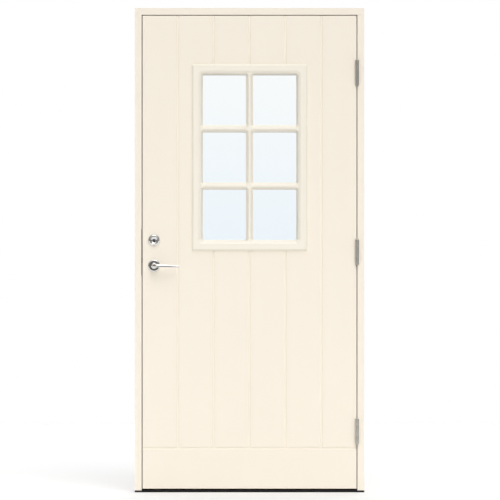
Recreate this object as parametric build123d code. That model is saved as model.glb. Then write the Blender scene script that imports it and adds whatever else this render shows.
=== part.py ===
from build123d import *
import math
import os

# An outward-opening panelled front door with a glazed upper light, in its frame.
# Millimetres. X runs from the lock side to the hinge side, Y from outdoors to indoors, Z up.
# The origin is the middle of the threshold's underside.

# Frame
frame_width = 990.0
frame_height = 2090.0
frame_depth = 105.0
rebate_wood = 29.5        # jamb and head thickness beside the leaf
stop_lap = 12.5           # how much further the stop stands in over the leaf
frame_arris = 1.5
sill_base = 8.0           # threshold height under the jambs
sill_front_height = 9.5
sill_tread_height = 11.5
sill_height = 25.0
sill_side_gap = 0.2

# Leaf
leaf_thickness = 62.0
leaf_gap = 3.5            # gap at both sides and the top
leaf_floor_height = 15.0  # underside of the leaf above the floor
skin_thickness = 8.0
stabiliser_thickness = 1.0
leaf_arris = 1.5
hinge_stile_width = 60.0
lock_stile_width = 115.0
top_rail_height = 70.0
bottom_rail_height = 100.0

# Grooves of the boards
groove_count = 5
groove_pitch = 155.0
groove_width = 12.0
groove_floor_width = 6.0
groove_depth = 3.5
base_board_height = 175.0  # from the leaf's underside to the level groove

# Seals
seal_space = 4.0          # between the leaf's back and the stop
seal_clearance = 0.3
kerf_width = 3.0
kerf_depth = 7.0
seal_stem_width = 2.6
seal_stem_depth = 6.5

# Window
light_width = 405.0       # sight size inside the moulding
light_height = 712.0
light_from_top = 611.5    # from the leaf's top to the middle of the light
pane_columns = 2
pane_rows = 3
glass_cover = 14.0        # how far the moulding hides the glass edge
glass_thickness = 4.0
spacer_thickness = 12.0
spacer_width = 6.5
spacer_inset = 2.0
block_height = 5.0        # setting blocks round the glass
block_length = 80.0
block_gap = 0.1
gasket_thickness = 2.0
gasket_setback = 1.5
trimmer_width = 35.0
moulding_width = 47.0
moulding_height = 12.0
moulding_edge = 2.5
moulding_corner = 3.0     # cut off the moulding's outer corners
moulding_outer_slope = 7.0
moulding_inner_slope = 10.0
ridge_height = 4.5
return_width = 8.0
collar_gap = 1.0
muntin_width = 31.0
muntin_ridge_width = 7.0
pane_corner = 2.0         # cut off a pane's corners at the glass
pane_corner_top = 9.0     # and at the level of the muntins' ridges
trough_corner = 12.0
glazing_screw_radius = 1.8
glazing_screw_head = 3.6
glazing_screw_length = 42.0

# Hinges
hinge_end_distance = 247.0  # from the leaf's ends to the middle of the outer hinges
hinge_names = ["bottom", "middle", "top"]
knuckle_radius = 8.0
knuckle_clearance = 1.0   # between a knuckle and the leaf's face
knuckle_bottom = 33.0
knuckle_middle = 45.0
knuckle_top = 31.0
washer_thickness = 1.0
hinge_plate_thickness = 2.5
hinge_plate_reach = 32.0  # how deep the plate goes along the edge
hinge_plate_corner = 6.0
pin_radius = 4.0
pin_play = 0.05
pin_head_radius = 6.0
pin_head_height = 2.0
hinge_screw_radius = 2.0
hinge_screw_head = 4.0
hinge_screw_length = 24.0
hinge_screw_step = 34.0
hinge_screw_near = 12.0   # from the leaf's face to the middle screw
hinge_screw_far = 20.0    # and to the outer screws
screw_play = 0.05
screw_sides = 6           # small round things have flat sides, larger ones more of them
seal_sides = 8
sleeve_sides = 8
washer_sides = 12
bar_sides = 24
rose_sides = 36

# Lock
backset = 50.0
handle_z = 977.5
cylinder_z = 1082.5
ring_rise = 5.5           # centre of the cylinder's ring above the plug
latch_rise = 24.0         # latch centre above the handle axis
bolt_drop = 27.0          # dead bolt centre below the cylinder axis
case_behind_axis = 28.5
case_thickness = 20.0
case_below_handle = 32.5
case_above_cylinder = 30.0
case_wall = 2.0
forend_width = 24.0
forend_height = 235.0
forend_thickness = 3.0
forend_corner = 3.0
forend_screw_edge = 10.0
bolt_thickness = 12.0
latch_height = 22.0
latch_throw = 12.0
dead_bolt_height = 26.0
dead_bolt_throw = 20.0
dead_bolt_clear = 17.5    # from the thick head's end to the cylinder's line
dead_bolt_tail = 5.0      # thickness of its tail
dead_bolt_tail_end = 4.5  # metal behind the notch
bolt_bevel = 0.8
bolt_play = 0.3           # round a bolt in the forend
tail_thickness = 6.0
follower_radius = 9.0
follower_boss_radius = 7.0
follower_arm = 16.0
follower_arm_width = 6.0
follower_arm_corner = 1.5
hub_side_play = 0.2       # between the follower's hub and the case's walls
arm_play = 0.5
latch_head_length = 14.0  # behind the forend
latch_nose = 3.0          # flat left at the tip of the bevel
lug_width = 4.0
lug_play = 0.7            # over the follower's hub
tail_height = 10.0
boss_play = 0.1
spindle_size = 8.0
spindle_play = 0.1
cam_hub_radius = 6.0
cam_plate_thickness = 4.0
cam_plate_forward = 4.5   # from the plate's front to the middle of the leaf
cam_pin_radius = 2.5
cam_pin_play = 0.75
tail_bar_width = 8.0
tail_bar_thickness = 3.0
spring_strip = 0.8
spring_height = 8.0

# Strike
strike_height = 200.0
strike_thickness = 2.0
strike_margin = 7.0       # plate behind its windows
strike_rise = 7.25        # middle of the strike above the middle of the case
strike_corner = 8.0
strike_window_corner = 2.0
strike_screw_edge = 14.0
strike_window_width = 16.0
strike_window_slack = 4.0
strike_pocket_depth = 17.5

# Furniture on the faces
rosette_radius = 27.0
rosette_height = 8.5
rosette_edge = 2.5        # upright edge of a rosette, and of the ring
rosette_face = 23.0       # radius of a rosette's flat face
rosette_screw_depth = 3.0
neck_radius = 10.0
neck_play = 0.5
lever_length = 108.0
lever_projection = 48.0
lever_bend = 17.0
lever_droop = 3.5
lever_root_height = 13.0
lever_tip_height = 9.0
lever_root_depth = 12.0
lever_tip_depth = 7.0
lever_sides = 12
lever_end = 2.0           # rounded end of the lever
socket_depth = 25.0
spindle_reach = 24.5
ring_height = 12.0
ring_shoulder = 19.0      # radius where the ring's cone meets its hollow
ring_inner_height = 8.0
housing_radius = 15.5
housing_play = 0.3
housing_height = 7.5      # the cylinder's nose in front of the leaf's face
plug_radius = 5.4
plug_play = 0.1
plug_setback = 0.3
key_slot_width = 1.8
key_slot_height = 7.5
key_slot_end = 4.0        # metal left behind the key's slot
tail_bar_gap = 0.1        # from each tail bar to the middle of the cam
cylinder_screw_depth = 9.0
turn_neck_radius = 7.0
turn_grip_height = 36.0
turn_grip_width = 11.0
turn_grip_depth = 20.0
turn_grip_bevel = 2.0
face_screw_offset = 19.0
cylinder_screw_offset = 11.0
face_screw_radius = 2.0
face_screw_head = 3.5
face_screw_cap = 2.4      # height of their heads

# Wall fixings and frame joints
fixing_count = 4
fixing_low = 160.0        # lowest fixing above the floor
fixing_from_top = 190.0   # highest fixing under the head's top
sleeve_radius = 7.0
sleeve_bore = 4.25
corner_screw_radius = 2.5
corner_screw_head = 5.0
corner_screw_length = 90.0
corner_screw_edge = 25.0  # from the frame's faces to the corner screws
head_depth = 3.0          # cone height of a countersunk head

# Places worked out from the sizes above
half_width = frame_width / 2
front = -frame_depth / 2
back = frame_depth / 2
rebate_x = half_width - rebate_wood
stop_x = rebate_x - stop_lap
leaf_x = rebate_x - leaf_gap
leaf_back = front + leaf_thickness
stop_y = leaf_back + seal_space
rebate_top = frame_height - rebate_wood
stop_top = rebate_top - stop_lap
leaf_bottom = leaf_floor_height
leaf_top = rebate_top - leaf_gap
core_front = front + skin_thickness + stabiliser_thickness
core_back = leaf_back - skin_thickness - stabiliser_thickness
groove_z = leaf_bottom + base_board_height
light_centre_z = leaf_top - light_from_top
hinge_heights = [
    leaf_bottom + hinge_end_distance,
    (leaf_bottom + leaf_top) / 2,
    leaf_top - hinge_end_distance,
]
fixing_y = (front + stop_y) / 2
fixing_step = (frame_height - fixing_from_top - fixing_low) / (fixing_count - 1)
fixing_heights = [fixing_low + index * fixing_step for index in range(fixing_count)]
corner_screw_y = [front + corner_screw_edge, back - corner_screw_edge]
kerf_x = stop_x + (leaf_x - stop_x) / 2
kerf_z = stop_top + (leaf_top - stop_top) / 2
sill_kerf_z = (leaf_bottom + sill_height) / 2
bulb_radius = (seal_space - seal_clearance) / 2
bulb_y = stop_y - bulb_radius
glass_width = light_width + 2 * glass_cover
glass_height = light_height + 2 * glass_cover
hole_width = glass_width + 2 * block_height
hole_height = glass_height + 2 * block_height
unit_thickness = 3 * glass_thickness + 2 * spacer_thickness
glass_front = (core_front + core_back - unit_thickness) / 2
glass_back = glass_front + unit_thickness
collar_depth = glass_front - gasket_thickness - front
frame_outer_width = light_width + 2 * moulding_width
frame_outer_height = light_height + 2 * moulding_width
pane_width = (light_width - (pane_columns - 1) * muntin_width) / pane_columns
pane_height = (light_height - (pane_rows - 1) * muntin_width) / pane_rows
leaf_mid_y = (front + leaf_back) / 2
pin_x = leaf_x + leaf_gap / 2
pin_y = front - knuckle_radius - knuckle_clearance
knuckle_height = knuckle_bottom + knuckle_middle + knuckle_top + 2 * washer_thickness
lock_x = -leaf_x + backset
latch_z = handle_z + latch_rise
dead_bolt_z = cylinder_z - bolt_drop
ring_z = cylinder_z + ring_rise
case_x = -leaf_x + forend_thickness
case_end = lock_x + case_behind_axis
case_front = leaf_mid_y - case_thickness / 2
case_back = leaf_mid_y + case_thickness / 2
case_bottom = handle_z - case_below_handle
case_top = cylinder_z + case_above_cylinder
cam_reach = dead_bolt_throw / (2 * math.sin(math.radians(45)))
strike_centre_z = (case_bottom + case_top) / 2 + strike_rise
bolt_front = leaf_mid_y - bolt_thickness / 2
bolt_back = leaf_mid_y + bolt_thickness / 2


def block(x0, x1, y0, y1, z0, z1):
    """A box between two corners."""
    centre = Pos((x0 + x1) / 2, (y0 + y1) / 2, (z0 + z1) / 2)
    return centre * Box(x1 - x0, y1 - y0, z1 - z0)


def round_bar(x, y, z, turn, radius, length):
    """A true round bar about its centre, turned from the Z axis."""
    return Pos(x, y, z) * turn * Cylinder(radius, length)


def tapered(radius, end_radius, length, sides):
    """A bar from Z = 0 upwards, many-sided where it stands for a round one."""
    fall = (radius - end_radius) * math.cos(math.pi / sides)
    taper = math.degrees(math.atan2(fall, length))
    return extrude(RegularPolygon(radius, sides), length, taper=taper)


def rod_x(x0, x1, y, z, radius, sides):
    return Pos(x0, y, z) * Rot(0, 90, 0) * tapered(radius, radius, x1 - x0, sides)


def rod_y(x, y0, y1, z, radius, sides=bar_sides):
    return Pos(x, y0, z) * Rot(-90, 0, 0) * tapered(radius, radius, y1 - y0, sides)


def rod_z(x, y, z0, z1, radius, sides=bar_sides):
    return Pos(x, y, z0) * tapered(radius, radius, z1 - z0, sides)


def turned(outline, bore):
    """A turned piece from Z = 0 upwards. The outline has (radius, height) points from its base."""
    body = None
    for (radius, low), (end_radius, high) in zip(outline, outline[1:]):
        band = Pos(0, 0, low) * tapered(radius, end_radius, high - low, rose_sides)
        body = body + band if body else band
    base = outline[0][1]
    return body - Pos(0, 0, base) * tapered(bore, bore, outline[-1][1] - base, rose_sides)


def screw(place, length, radius, head_radius):
    """A countersunk screw at a location whose Z axis runs down the shank."""
    head = tapered(head_radius, radius, head_depth, screw_sides)
    shank = Pos(0, 0, head_depth) * tapered(radius, radius, length - head_depth, screw_sides)
    return place * (head + shank)


def level_face(width, height, corner):
    """A rectangle with its corners cut off at 45 degrees, centred."""
    half_w = width / 2
    half_h = height / 2
    points = [
        (half_w, half_h - corner),
        (half_w - corner, half_h),
        (-half_w + corner, half_h),
        (-half_w, half_h - corner),
    ]
    points += [(-x, -y) for x, y in points]
    return make_face(Polyline(*points, close=True))


def group(pieces):
    """Several solids of one node."""
    solids = []
    for piece in pieces:
        solids.extend(piece.solids())
    return Compound(solids)


# Frame

def jamb_section():
    """The hinge side's section seen from above, with its kerf and small arrises."""
    kerf_in = kerf_x - kerf_width / 2
    kerf_out = kerf_x + kerf_width / 2
    points = [
        (half_width, front),
        (half_width, back),
        (stop_x, back),
        (stop_x, stop_y),
        (kerf_in, stop_y),
        (kerf_in, stop_y + kerf_depth),
        (kerf_out, stop_y + kerf_depth),
        (kerf_out, stop_y),
        (rebate_x, stop_y),
        (rebate_x, front),
    ]
    rounds = [0, 0, frame_arris, frame_arris, 0, 0, 0, 0, 0, frame_arris]
    return make_face(FilletPolyline(*points, radius=rounds, close=True))


def sleeve_bar(x0, x1, height):
    """The outer form of a threaded sleeve between two places across a jamb."""
    low_x, high_x = sorted((x0, x1))
    return rod_x(low_x, high_x, fixing_y, height, sleeve_radius, sleeve_sides)


def fixing_places(side):
    """The wall fixings of one jamb: side is 1 at the hinges and -1 at the lock."""
    return [(side, height) for height in fixing_heights]


def corner_screw_places():
    """Corner screws down through the head and up through the threshold."""
    x = half_width - rebate_wood / 2
    down = [Pos(side * x, y, frame_height) * Rot(180, 0, 0) for side in (-1, 1) for y in corner_screw_y]
    up = [Pos(side * x, y, 0) for side in (-1, 1) for y in corner_screw_y]
    return down + up


def corner_screw_holes():
    return [
        screw(place, corner_screw_length, corner_screw_radius + screw_play, corner_screw_head)
        for place in corner_screw_places()
    ]


def jamb(side):
    body = Pos(0, 0, sill_base) * extrude(jamb_section(), rebate_top - sill_base)
    head_space = block(stop_x - 1, rebate_x, stop_y, back + 1, stop_top, frame_height)
    body -= head_space
    if side < 0:
        body = mirror(body, about=Plane.YZ)
    for place_side, height in fixing_places(side):
        inner = place_side * (rebate_x - 1)
        outer = place_side * (half_width + 1)
        body -= sleeve_bar(inner, outer, height)
    for hole in corner_screw_holes():
        body -= hole
    return body


def jamb_hinge_side():
    body = jamb(1)
    for centre in hinge_heights:
        body -= hinge_plate(centre, 1)
        for place in hinge_screw_places(centre, 1):
            body -= screw(place, hinge_screw_length, hinge_screw_radius + screw_play, hinge_screw_head)
    return body


def strike_windows():
    """The two windows of the strike: (bottom, top, depth behind the plate's face)."""
    latch_half = (latch_height + strike_window_slack) / 2
    bolt_half = (dead_bolt_height + strike_window_slack) / 2
    return [
        (latch_z - latch_half, latch_z + latch_half),
        (dead_bolt_z - bolt_half, dead_bolt_z + bolt_half),
    ]


def jamb_lock_side():
    body = jamb(-1)
    body -= strike_blank()
    half = strike_window_width / 2
    for low, high in strike_windows():
        body -= block(
            -rebate_x - strike_pocket_depth, -rebate_x + 1,
            leaf_mid_y - half, leaf_mid_y + half, low, high,
        )
    for place in strike_screw_places():
        body -= screw(place, hinge_screw_length, hinge_screw_radius + screw_play, hinge_screw_head)
    return body


def head_section():
    """The head's section in the YZ plane: the same rebate, kerf and arrises as a jamb."""
    kerf_low = kerf_z - kerf_width / 2
    kerf_high = kerf_z + kerf_width / 2
    points = [
        (front, frame_height),
        (back, frame_height),
        (back, stop_top),
        (stop_y, stop_top),
        (stop_y, kerf_low),
        (stop_y + kerf_depth, kerf_low),
        (stop_y + kerf_depth, kerf_high),
        (stop_y, kerf_high),
        (stop_y, rebate_top),
        (front, rebate_top),
    ]
    rounds = [0, 0, frame_arris, frame_arris, 0, 0, 0, 0, 0, frame_arris]
    return Plane.YZ * make_face(FilletPolyline(*points, radius=rounds, close=True))


def frame_head():
    """The head runs over both jambs; its stop ends against theirs."""
    body = Pos(-half_width, 0, 0) * extrude(head_section(), frame_width)
    for side in (-1, 1):
        outer = side * (half_width + 1)
        inner = side * rebate_x
        low_x, high_x = sorted((outer, inner))
        body -= block(low_x, high_x, front - 1, back + 1, stop_top - 1, rebate_top)
    for hole in corner_screw_holes():
        body -= hole
    return body


def threshold():
    """Base under the jambs, a sloped tread under the leaf and an upstand behind it."""
    base = block(-half_width, half_width, front, back, 0, sill_base)
    tread_points = [
        (front, 0),
        (stop_y, 0),
        (stop_y, sill_tread_height),
        (front, sill_front_height),
    ]
    tread_face = make_face(FilletPolyline(*tread_points, radius=[0, 0, 0, frame_arris], close=True))
    tread_x = rebate_x - sill_side_gap
    tread = Pos(-tread_x, 0, 0) * extrude(Plane.YZ * tread_face, 2 * tread_x)
    kerf_low = sill_kerf_z - kerf_width / 2
    kerf_high = sill_kerf_z + kerf_width / 2
    upstand_points = [
        (stop_y, 0),
        (back, 0),
        (back, sill_height),
        (stop_y, sill_height),
        (stop_y, kerf_high),
        (stop_y + kerf_depth, kerf_high),
        (stop_y + kerf_depth, kerf_low),
        (stop_y, kerf_low),
    ]
    rounds = [0, 0, 2 * frame_arris, 2 * frame_arris, 0, 0, 0, 0]
    upstand_face = make_face(FilletPolyline(*upstand_points, radius=rounds, close=True))
    upstand_x = stop_x - sill_side_gap
    upstand = Pos(-upstand_x, 0, 0) * extrude(Plane.YZ * upstand_face, 2 * upstand_x)
    body = base + tread + upstand
    for hole in corner_screw_holes():
        body -= hole
    return body


def frame_seal():
    """One seal up both jambs and across the head: a bulb with a stem in the kerf."""
    low = sill_height + seal_clearance
    stem_half = seal_stem_width / 2
    stem_back = stop_y + seal_stem_depth
    corner_x = kerf_x + bulb_radius
    body = rod_x(-corner_x, corner_x, bulb_y, kerf_z, bulb_radius, seal_sides)
    body += block(
        -kerf_x - stem_half, kerf_x + stem_half, bulb_y, stem_back,
        kerf_z - stem_half, kerf_z + stem_half,
    )
    for side in (-1, 1):
        x = side * kerf_x
        body += rod_z(x, bulb_y, low, kerf_z + bulb_radius, bulb_radius, seal_sides)
        body += block(x - stem_half, x + stem_half, bulb_y, stem_back, low, stop_top)
    return body


def threshold_seal():
    reach = stop_x - sill_side_gap
    stem_half = seal_stem_width / 2
    bulb = rod_x(-reach, reach, bulb_y, sill_kerf_z, bulb_radius, seal_sides)
    stem = block(
        -reach, reach, bulb_y, stop_y + seal_stem_depth,
        sill_kerf_z - stem_half, sill_kerf_z + stem_half,
    )
    return bulb + stem


def frame_corner_screws():
    return group(
        screw(place, corner_screw_length, corner_screw_radius, corner_screw_head - screw_play)
        for place in corner_screw_places()
    )


def fixing_sleeves():
    sleeves = []
    for side in (-1, 1):
        for _, height in fixing_places(side):
            sleeve = sleeve_bar(side * rebate_x, side * half_width, height)
            centre = side * (rebate_x + half_width) / 2
            length = half_width - rebate_x + 2
            sleeves.append(sleeve - round_bar(
                centre, fixing_y, height, Rot(0, 90, 0), sleeve_bore, length,
            ))
    return group(sleeves)


# Hinges

def hinge_plate(centre, side):
    """The plate let into the jamb (side 1) or the leaf's edge (side -1), without its knuckles."""
    low = centre - knuckle_height / 2
    face = rebate_x if side > 0 else leaf_x - hinge_plate_thickness
    plate = block(
        face, face + hinge_plate_thickness, front, front + hinge_plate_reach,
        low, low + knuckle_height,
    )
    corners = plate.edges().filter_by(Axis.X).group_by(Axis.Y)[-1]
    return fillet(corners, hinge_plate_corner)


def hinge_screw_places(centre, side):
    """Three countersunk screws through a plate, staggered along the edge."""
    places = []
    for step in (-1, 0, 1):
        y = front + (hinge_screw_far if step else hinge_screw_near)
        z = centre + step * hinge_screw_step
        x = rebate_x if side > 0 else leaf_x
        places.append(Pos(x, y, z) * Rot(0, 90 * side, 0))
    return places


def knuckle(z0, z1, side):
    """A knuckle on the pin line with the leg that carries it from its plate."""
    face = rebate_x if side > 0 else leaf_x - hinge_plate_thickness
    barrel = rod_z(pin_x, pin_y, z0, z1, knuckle_radius)
    leg = block(face, face + hinge_plate_thickness, pin_y, front, z0, z1)
    bore = rod_z(pin_x, pin_y, z0 - 1, z1 + 1, pin_radius + pin_play)
    return barrel + leg - bore


def knuckle_levels(centre):
    """The lower and upper ends of the bottom, middle and top knuckle."""
    low = centre - knuckle_height / 2
    middle = low + knuckle_bottom + washer_thickness
    top = middle + knuckle_middle + washer_thickness
    return [
        (low, low + knuckle_bottom),
        (middle, middle + knuckle_middle),
        (top, top + knuckle_top),
    ]


def hinge_frame_half(centre):
    bottom, _, top = knuckle_levels(centre)
    body = hinge_plate(centre, 1) + knuckle(*bottom, 1) + knuckle(*top, 1)
    for place in hinge_screw_places(centre, 1):
        body -= screw(place, hinge_screw_length, hinge_screw_radius + screw_play, hinge_screw_head)
    return body


def hinge_leaf_half(centre):
    _, middle, _ = knuckle_levels(centre)
    body = hinge_plate(centre, -1) + knuckle(*middle, -1)
    for place in hinge_screw_places(centre, -1):
        body -= screw(place, hinge_screw_length, hinge_screw_radius + screw_play, hinge_screw_head)
    return body


def hinge_pins():
    """Each pin runs through its three knuckles and has a flat head on top."""
    pins = []
    for centre in hinge_heights:
        low = centre - knuckle_height / 2
        high = low + knuckle_height
        middle = (low + high) / 2
        shank = round_bar(pin_x, pin_y, middle, Rot(0, 0, 0), pin_radius, knuckle_height)
        head = tapered(pin_head_radius, pin_radius, pin_head_height, bar_sides)
        pins.append(shank + Pos(pin_x, pin_y, high) * head)
    return group(pins)


def hinge_washers():
    washers = []
    hole_radius = (pin_radius + pin_play) / math.cos(math.pi / washer_sides)
    for centre in hinge_heights:
        bottom, middle, _ = knuckle_levels(centre)
        for level in (bottom[1], middle[1]):
            top = level + washer_thickness
            disc = rod_z(pin_x, pin_y, level, top, knuckle_radius - pin_play, washer_sides)
            washers.append(disc - rod_z(pin_x, pin_y, level - 1, top + 1, hole_radius, washer_sides))
    return group(washers)


def hinge_screws(side):
    return group(
        screw(place, hinge_screw_length, hinge_screw_radius, hinge_screw_head - screw_play)
        for centre in hinge_heights
        for place in hinge_screw_places(centre, side)
    )


# Leaf

def groove_cutter(length):
    """A routed groove along +Z, open towards -Y, its mouth on the XZ plane."""
    half_mouth = groove_width / 2
    half_floor = groove_floor_width / 2
    points = [
        (-half_mouth, -1),
        (-half_mouth, 0),
        (-half_floor, groove_depth),
        (half_floor, groove_depth),
        (half_mouth, 0),
        (half_mouth, -1),
    ]
    return extrude(make_face(Polyline(*points, close=True)), length)


def grooves():
    """All grooves of the outer face: upright ones above the level one."""
    cutters = []
    for index in range(groove_count):
        x = (index - (groove_count - 1) / 2) * groove_pitch
        cutters.append(Pos(x, front, groove_z) * groove_cutter(leaf_top - groove_z + 1))
    level = Pos(-leaf_x - 1, front, groove_z) * Rot(0, 90, 0) * groove_cutter(2 * leaf_x + 2)
    cutters.append(level)
    return cutters


def window_hole(y0, y1):
    half_w = hole_width / 2
    half_h = hole_height / 2
    return block(-half_w, half_w, y0, y1, light_centre_z - half_h, light_centre_z + half_h)


def leaf_hinge_mortises(with_screws):
    cutters = []
    for centre in hinge_heights:
        cutters.append(hinge_plate(centre, -1))
        if with_screws:
            cutters.extend(
                screw(place, hinge_screw_length, hinge_screw_radius + screw_play, hinge_screw_head)
                for place in hinge_screw_places(centre, -1)
            )
    return cutters


def furniture_holes(y0, y1):
    """Holes for the handle neck and the cylinder between two depths."""
    screw_hole = face_screw_radius + screw_play
    holes = [
        rod_y(lock_x, y0, y1, handle_z, neck_radius + neck_play),
        rod_y(lock_x, y0, y1, ring_z, housing_radius + housing_play),
    ]
    for side in (-1, 1):
        holes.append(rod_y(lock_x + side * face_screw_offset, y0, y1, handle_z, screw_hole, screw_sides))
    return holes


def outer_skin():
    body = block(-leaf_x, leaf_x, front, front + skin_thickness, leaf_bottom, leaf_top)
    body = chamfer(body.faces().sort_by(Axis.Y)[0].edges(), leaf_arris)
    for cutter in grooves():
        body -= cutter
    body -= window_hole(front - 1, front + skin_thickness + 1)
    for hole in furniture_holes(front - 1, front + skin_thickness + 1):
        body -= hole
    for mortise in leaf_hinge_mortises(False):
        body -= mortise
    return body


def inner_skin():
    """The same boards turned to face indoors."""
    body = block(-leaf_x, leaf_x, front, front + skin_thickness, leaf_bottom, leaf_top)
    body = chamfer(body.faces().sort_by(Axis.Y)[0].edges(), leaf_arris)
    for cutter in grooves():
        body -= cutter
    body = mirror(body, about=Plane.XZ.offset(-leaf_mid_y))
    body -= window_hole(leaf_back - skin_thickness - 1, leaf_back + 1)
    for hole in furniture_holes(leaf_back - skin_thickness - 1, leaf_back + 1):
        body -= hole
    for place in glazing_screw_places():
        body -= glazing_screw_hole(place)
    return body


def stabiliser(y0, y1, inner):
    body = block(-leaf_x, leaf_x, y0, y1, leaf_bottom, leaf_top)
    body -= window_hole(y0 - 1, y1 + 1)
    for hole in furniture_holes(y0 - 1, y1 + 1):
        body -= hole
    if inner:
        for place in glazing_screw_places():
            body -= glazing_screw_hole(place)
    else:
        for mortise in leaf_hinge_mortises(False):
            body -= mortise
    return body


def outer_stabiliser():
    return stabiliser(front + skin_thickness, core_front, False)


def inner_stabiliser():
    return stabiliser(core_back, leaf_back - skin_thickness, True)


def hinge_stile():
    body = block(leaf_x - hinge_stile_width, leaf_x, core_front, core_back, leaf_bottom, leaf_top)
    for mortise in leaf_hinge_mortises(True):
        body -= mortise
    return body


def case_space():
    """The mortise for the lock case and its forend."""
    pocket = block(-leaf_x - 1, case_end, case_front, case_back, case_bottom, case_top)
    return pocket + forend_blank()


def lock_stile():
    body = block(-leaf_x, -leaf_x + lock_stile_width, core_front, core_back, leaf_bottom, leaf_top)
    body -= case_space()
    for hole in furniture_holes(core_front - 1, core_back + 1):
        body -= hole
    for place in forend_screw_places():
        body -= screw(place, hinge_screw_length, hinge_screw_radius + screw_play, hinge_screw_head)
    return body


def top_rail():
    return block(
        -leaf_x + lock_stile_width, leaf_x - hinge_stile_width, core_front, core_back,
        leaf_top - top_rail_height, leaf_top,
    )


def bottom_rail():
    return block(
        -leaf_x + lock_stile_width, leaf_x - hinge_stile_width, core_front, core_back,
        leaf_bottom, leaf_bottom + bottom_rail_height,
    )


def window_trimmers():
    """Two uprights and two cross pieces round the glazing hole."""
    half_w = hole_width / 2
    half_h = hole_height / 2
    far_w = half_w + trimmer_width
    far_h = half_h + trimmer_width
    low = light_centre_z - far_h
    high = light_centre_z + far_h
    pieces = [
        block(-far_w, -half_w, core_front, core_back, low, high),
        block(half_w, far_w, core_front, core_back, low, high),
        block(-half_w, half_w, core_front, core_back, low, low + trimmer_width),
        block(-half_w, half_w, core_front, core_back, high - trimmer_width, high),
    ]
    bored = []
    for piece in pieces:
        for place in glazing_screw_places():
            piece -= glazing_screw_hole(place)
        bored.append(piece)
    return group(bored)


def insulation_core():
    far_w = hole_width / 2 + trimmer_width
    far_h = hole_height / 2 + trimmer_width
    body = block(
        -leaf_x + lock_stile_width, leaf_x - hinge_stile_width, core_front, core_back,
        leaf_bottom + bottom_rail_height, leaf_top - top_rail_height,
    )
    body -= block(
        -far_w, far_w, core_front - 1, core_back + 1,
        light_centre_z - far_h, light_centre_z + far_h,
    )
    return body


# Window

def pane(y0):
    return block(
        -glass_width / 2, glass_width / 2, y0, y0 + glass_thickness,
        light_centre_z - glass_height / 2, light_centre_z + glass_height / 2,
    )


def glass_outer():
    return pane(glass_front)


def glass_middle():
    return pane(glass_front + glass_thickness + spacer_thickness)


def glass_inner():
    return pane(glass_back - glass_thickness)


def flat_ring(outer_width, outer_height, inner_width, inner_height, y0, y1):
    """A rectangular ring round the window's centre."""
    low = light_centre_z - outer_height / 2
    outer = block(-outer_width / 2, outer_width / 2, y0, y1, low, low + outer_height)
    inner_low = light_centre_z - inner_height / 2
    inner = block(
        -inner_width / 2, inner_width / 2, y0 - 1, y1 + 1, inner_low, inner_low + inner_height,
    )
    return outer - inner


def glass_spacers():
    rings = []
    outer_w = glass_width - 2 * spacer_inset
    outer_h = glass_height - 2 * spacer_inset
    step = glass_thickness + spacer_thickness
    for index in range(2):
        y0 = glass_front + glass_thickness + index * step
        rings.append(flat_ring(
            outer_w, outer_h, outer_w - 2 * spacer_width, outer_h - 2 * spacer_width,
            y0, y0 + spacer_thickness,
        ))
    return group(rings)


def glazing_blocks():
    """Blocks that carry the glass at the bottom and keep it centred at the sides and top."""
    half_w = glass_width / 2
    half_h = glass_height / 2
    low = light_centre_z - half_h
    high = light_centre_z + half_h
    blocks = []
    for side in (-1, 1):
        x = side * (half_w - block_length)
        x0 = x - block_length / 2
        blocks.append(block(x0, x0 + block_length, glass_front, glass_back, low - block_height, low))
        blocks.append(block(
            x0, x0 + block_length, glass_front, glass_back, high + block_gap, high + block_height,
        ))
        inner = side * (half_w + block_gap)
        outer = side * (half_w + block_height)
        x0, x1 = sorted((inner, outer))
        z0 = high - 2 * block_length
        blocks.append(block(x0, x1, glass_front, glass_back, z0, z0 + block_length))
    return group(blocks)


def glazing_gaskets():
    """Flat strips between the outer and inner panes and the collars of the mouldings."""
    inner_w = light_width + 2 * gasket_setback
    inner_h = light_height + 2 * gasket_setback
    return group([
        flat_ring(glass_width, glass_height, inner_w, inner_h, glass_front - gasket_thickness, glass_front),
        flat_ring(glass_width, glass_height, inner_w, inner_h, glass_back, glass_back + gasket_thickness),
    ])


def pane_cutter(column, row):
    """The bevelled opening of one pane: steep beside the frame, wider over the muntins."""
    muntin_slope = (muntin_width - muntin_ridge_width) / 2
    left = return_width if column == 0 else muntin_slope
    right = return_width if column == pane_columns - 1 else muntin_slope
    below = return_width if row == 0 else muntin_slope
    above = return_width if row == pane_rows - 1 else muntin_slope
    x = -light_width / 2 + column * (pane_width + muntin_width) + pane_width / 2
    z = -light_height / 2 + row * (pane_height + muntin_width) + pane_height / 2
    small = level_face(pane_width, pane_height, pane_corner)
    large = Pos((right - left) / 2, (above - below) / 2) * level_face(
        pane_width + left + right, pane_height + below + above, pane_corner_top,
    )
    lower = Pos(x, z, -collar_depth) * small
    upper = Pos(x, z, ridge_height) * large
    bevel = loft([lower, upper], ruled=True)
    through = Pos(x, z, -collar_depth - 1) * extrude(small, 1)
    return bevel + through


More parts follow.
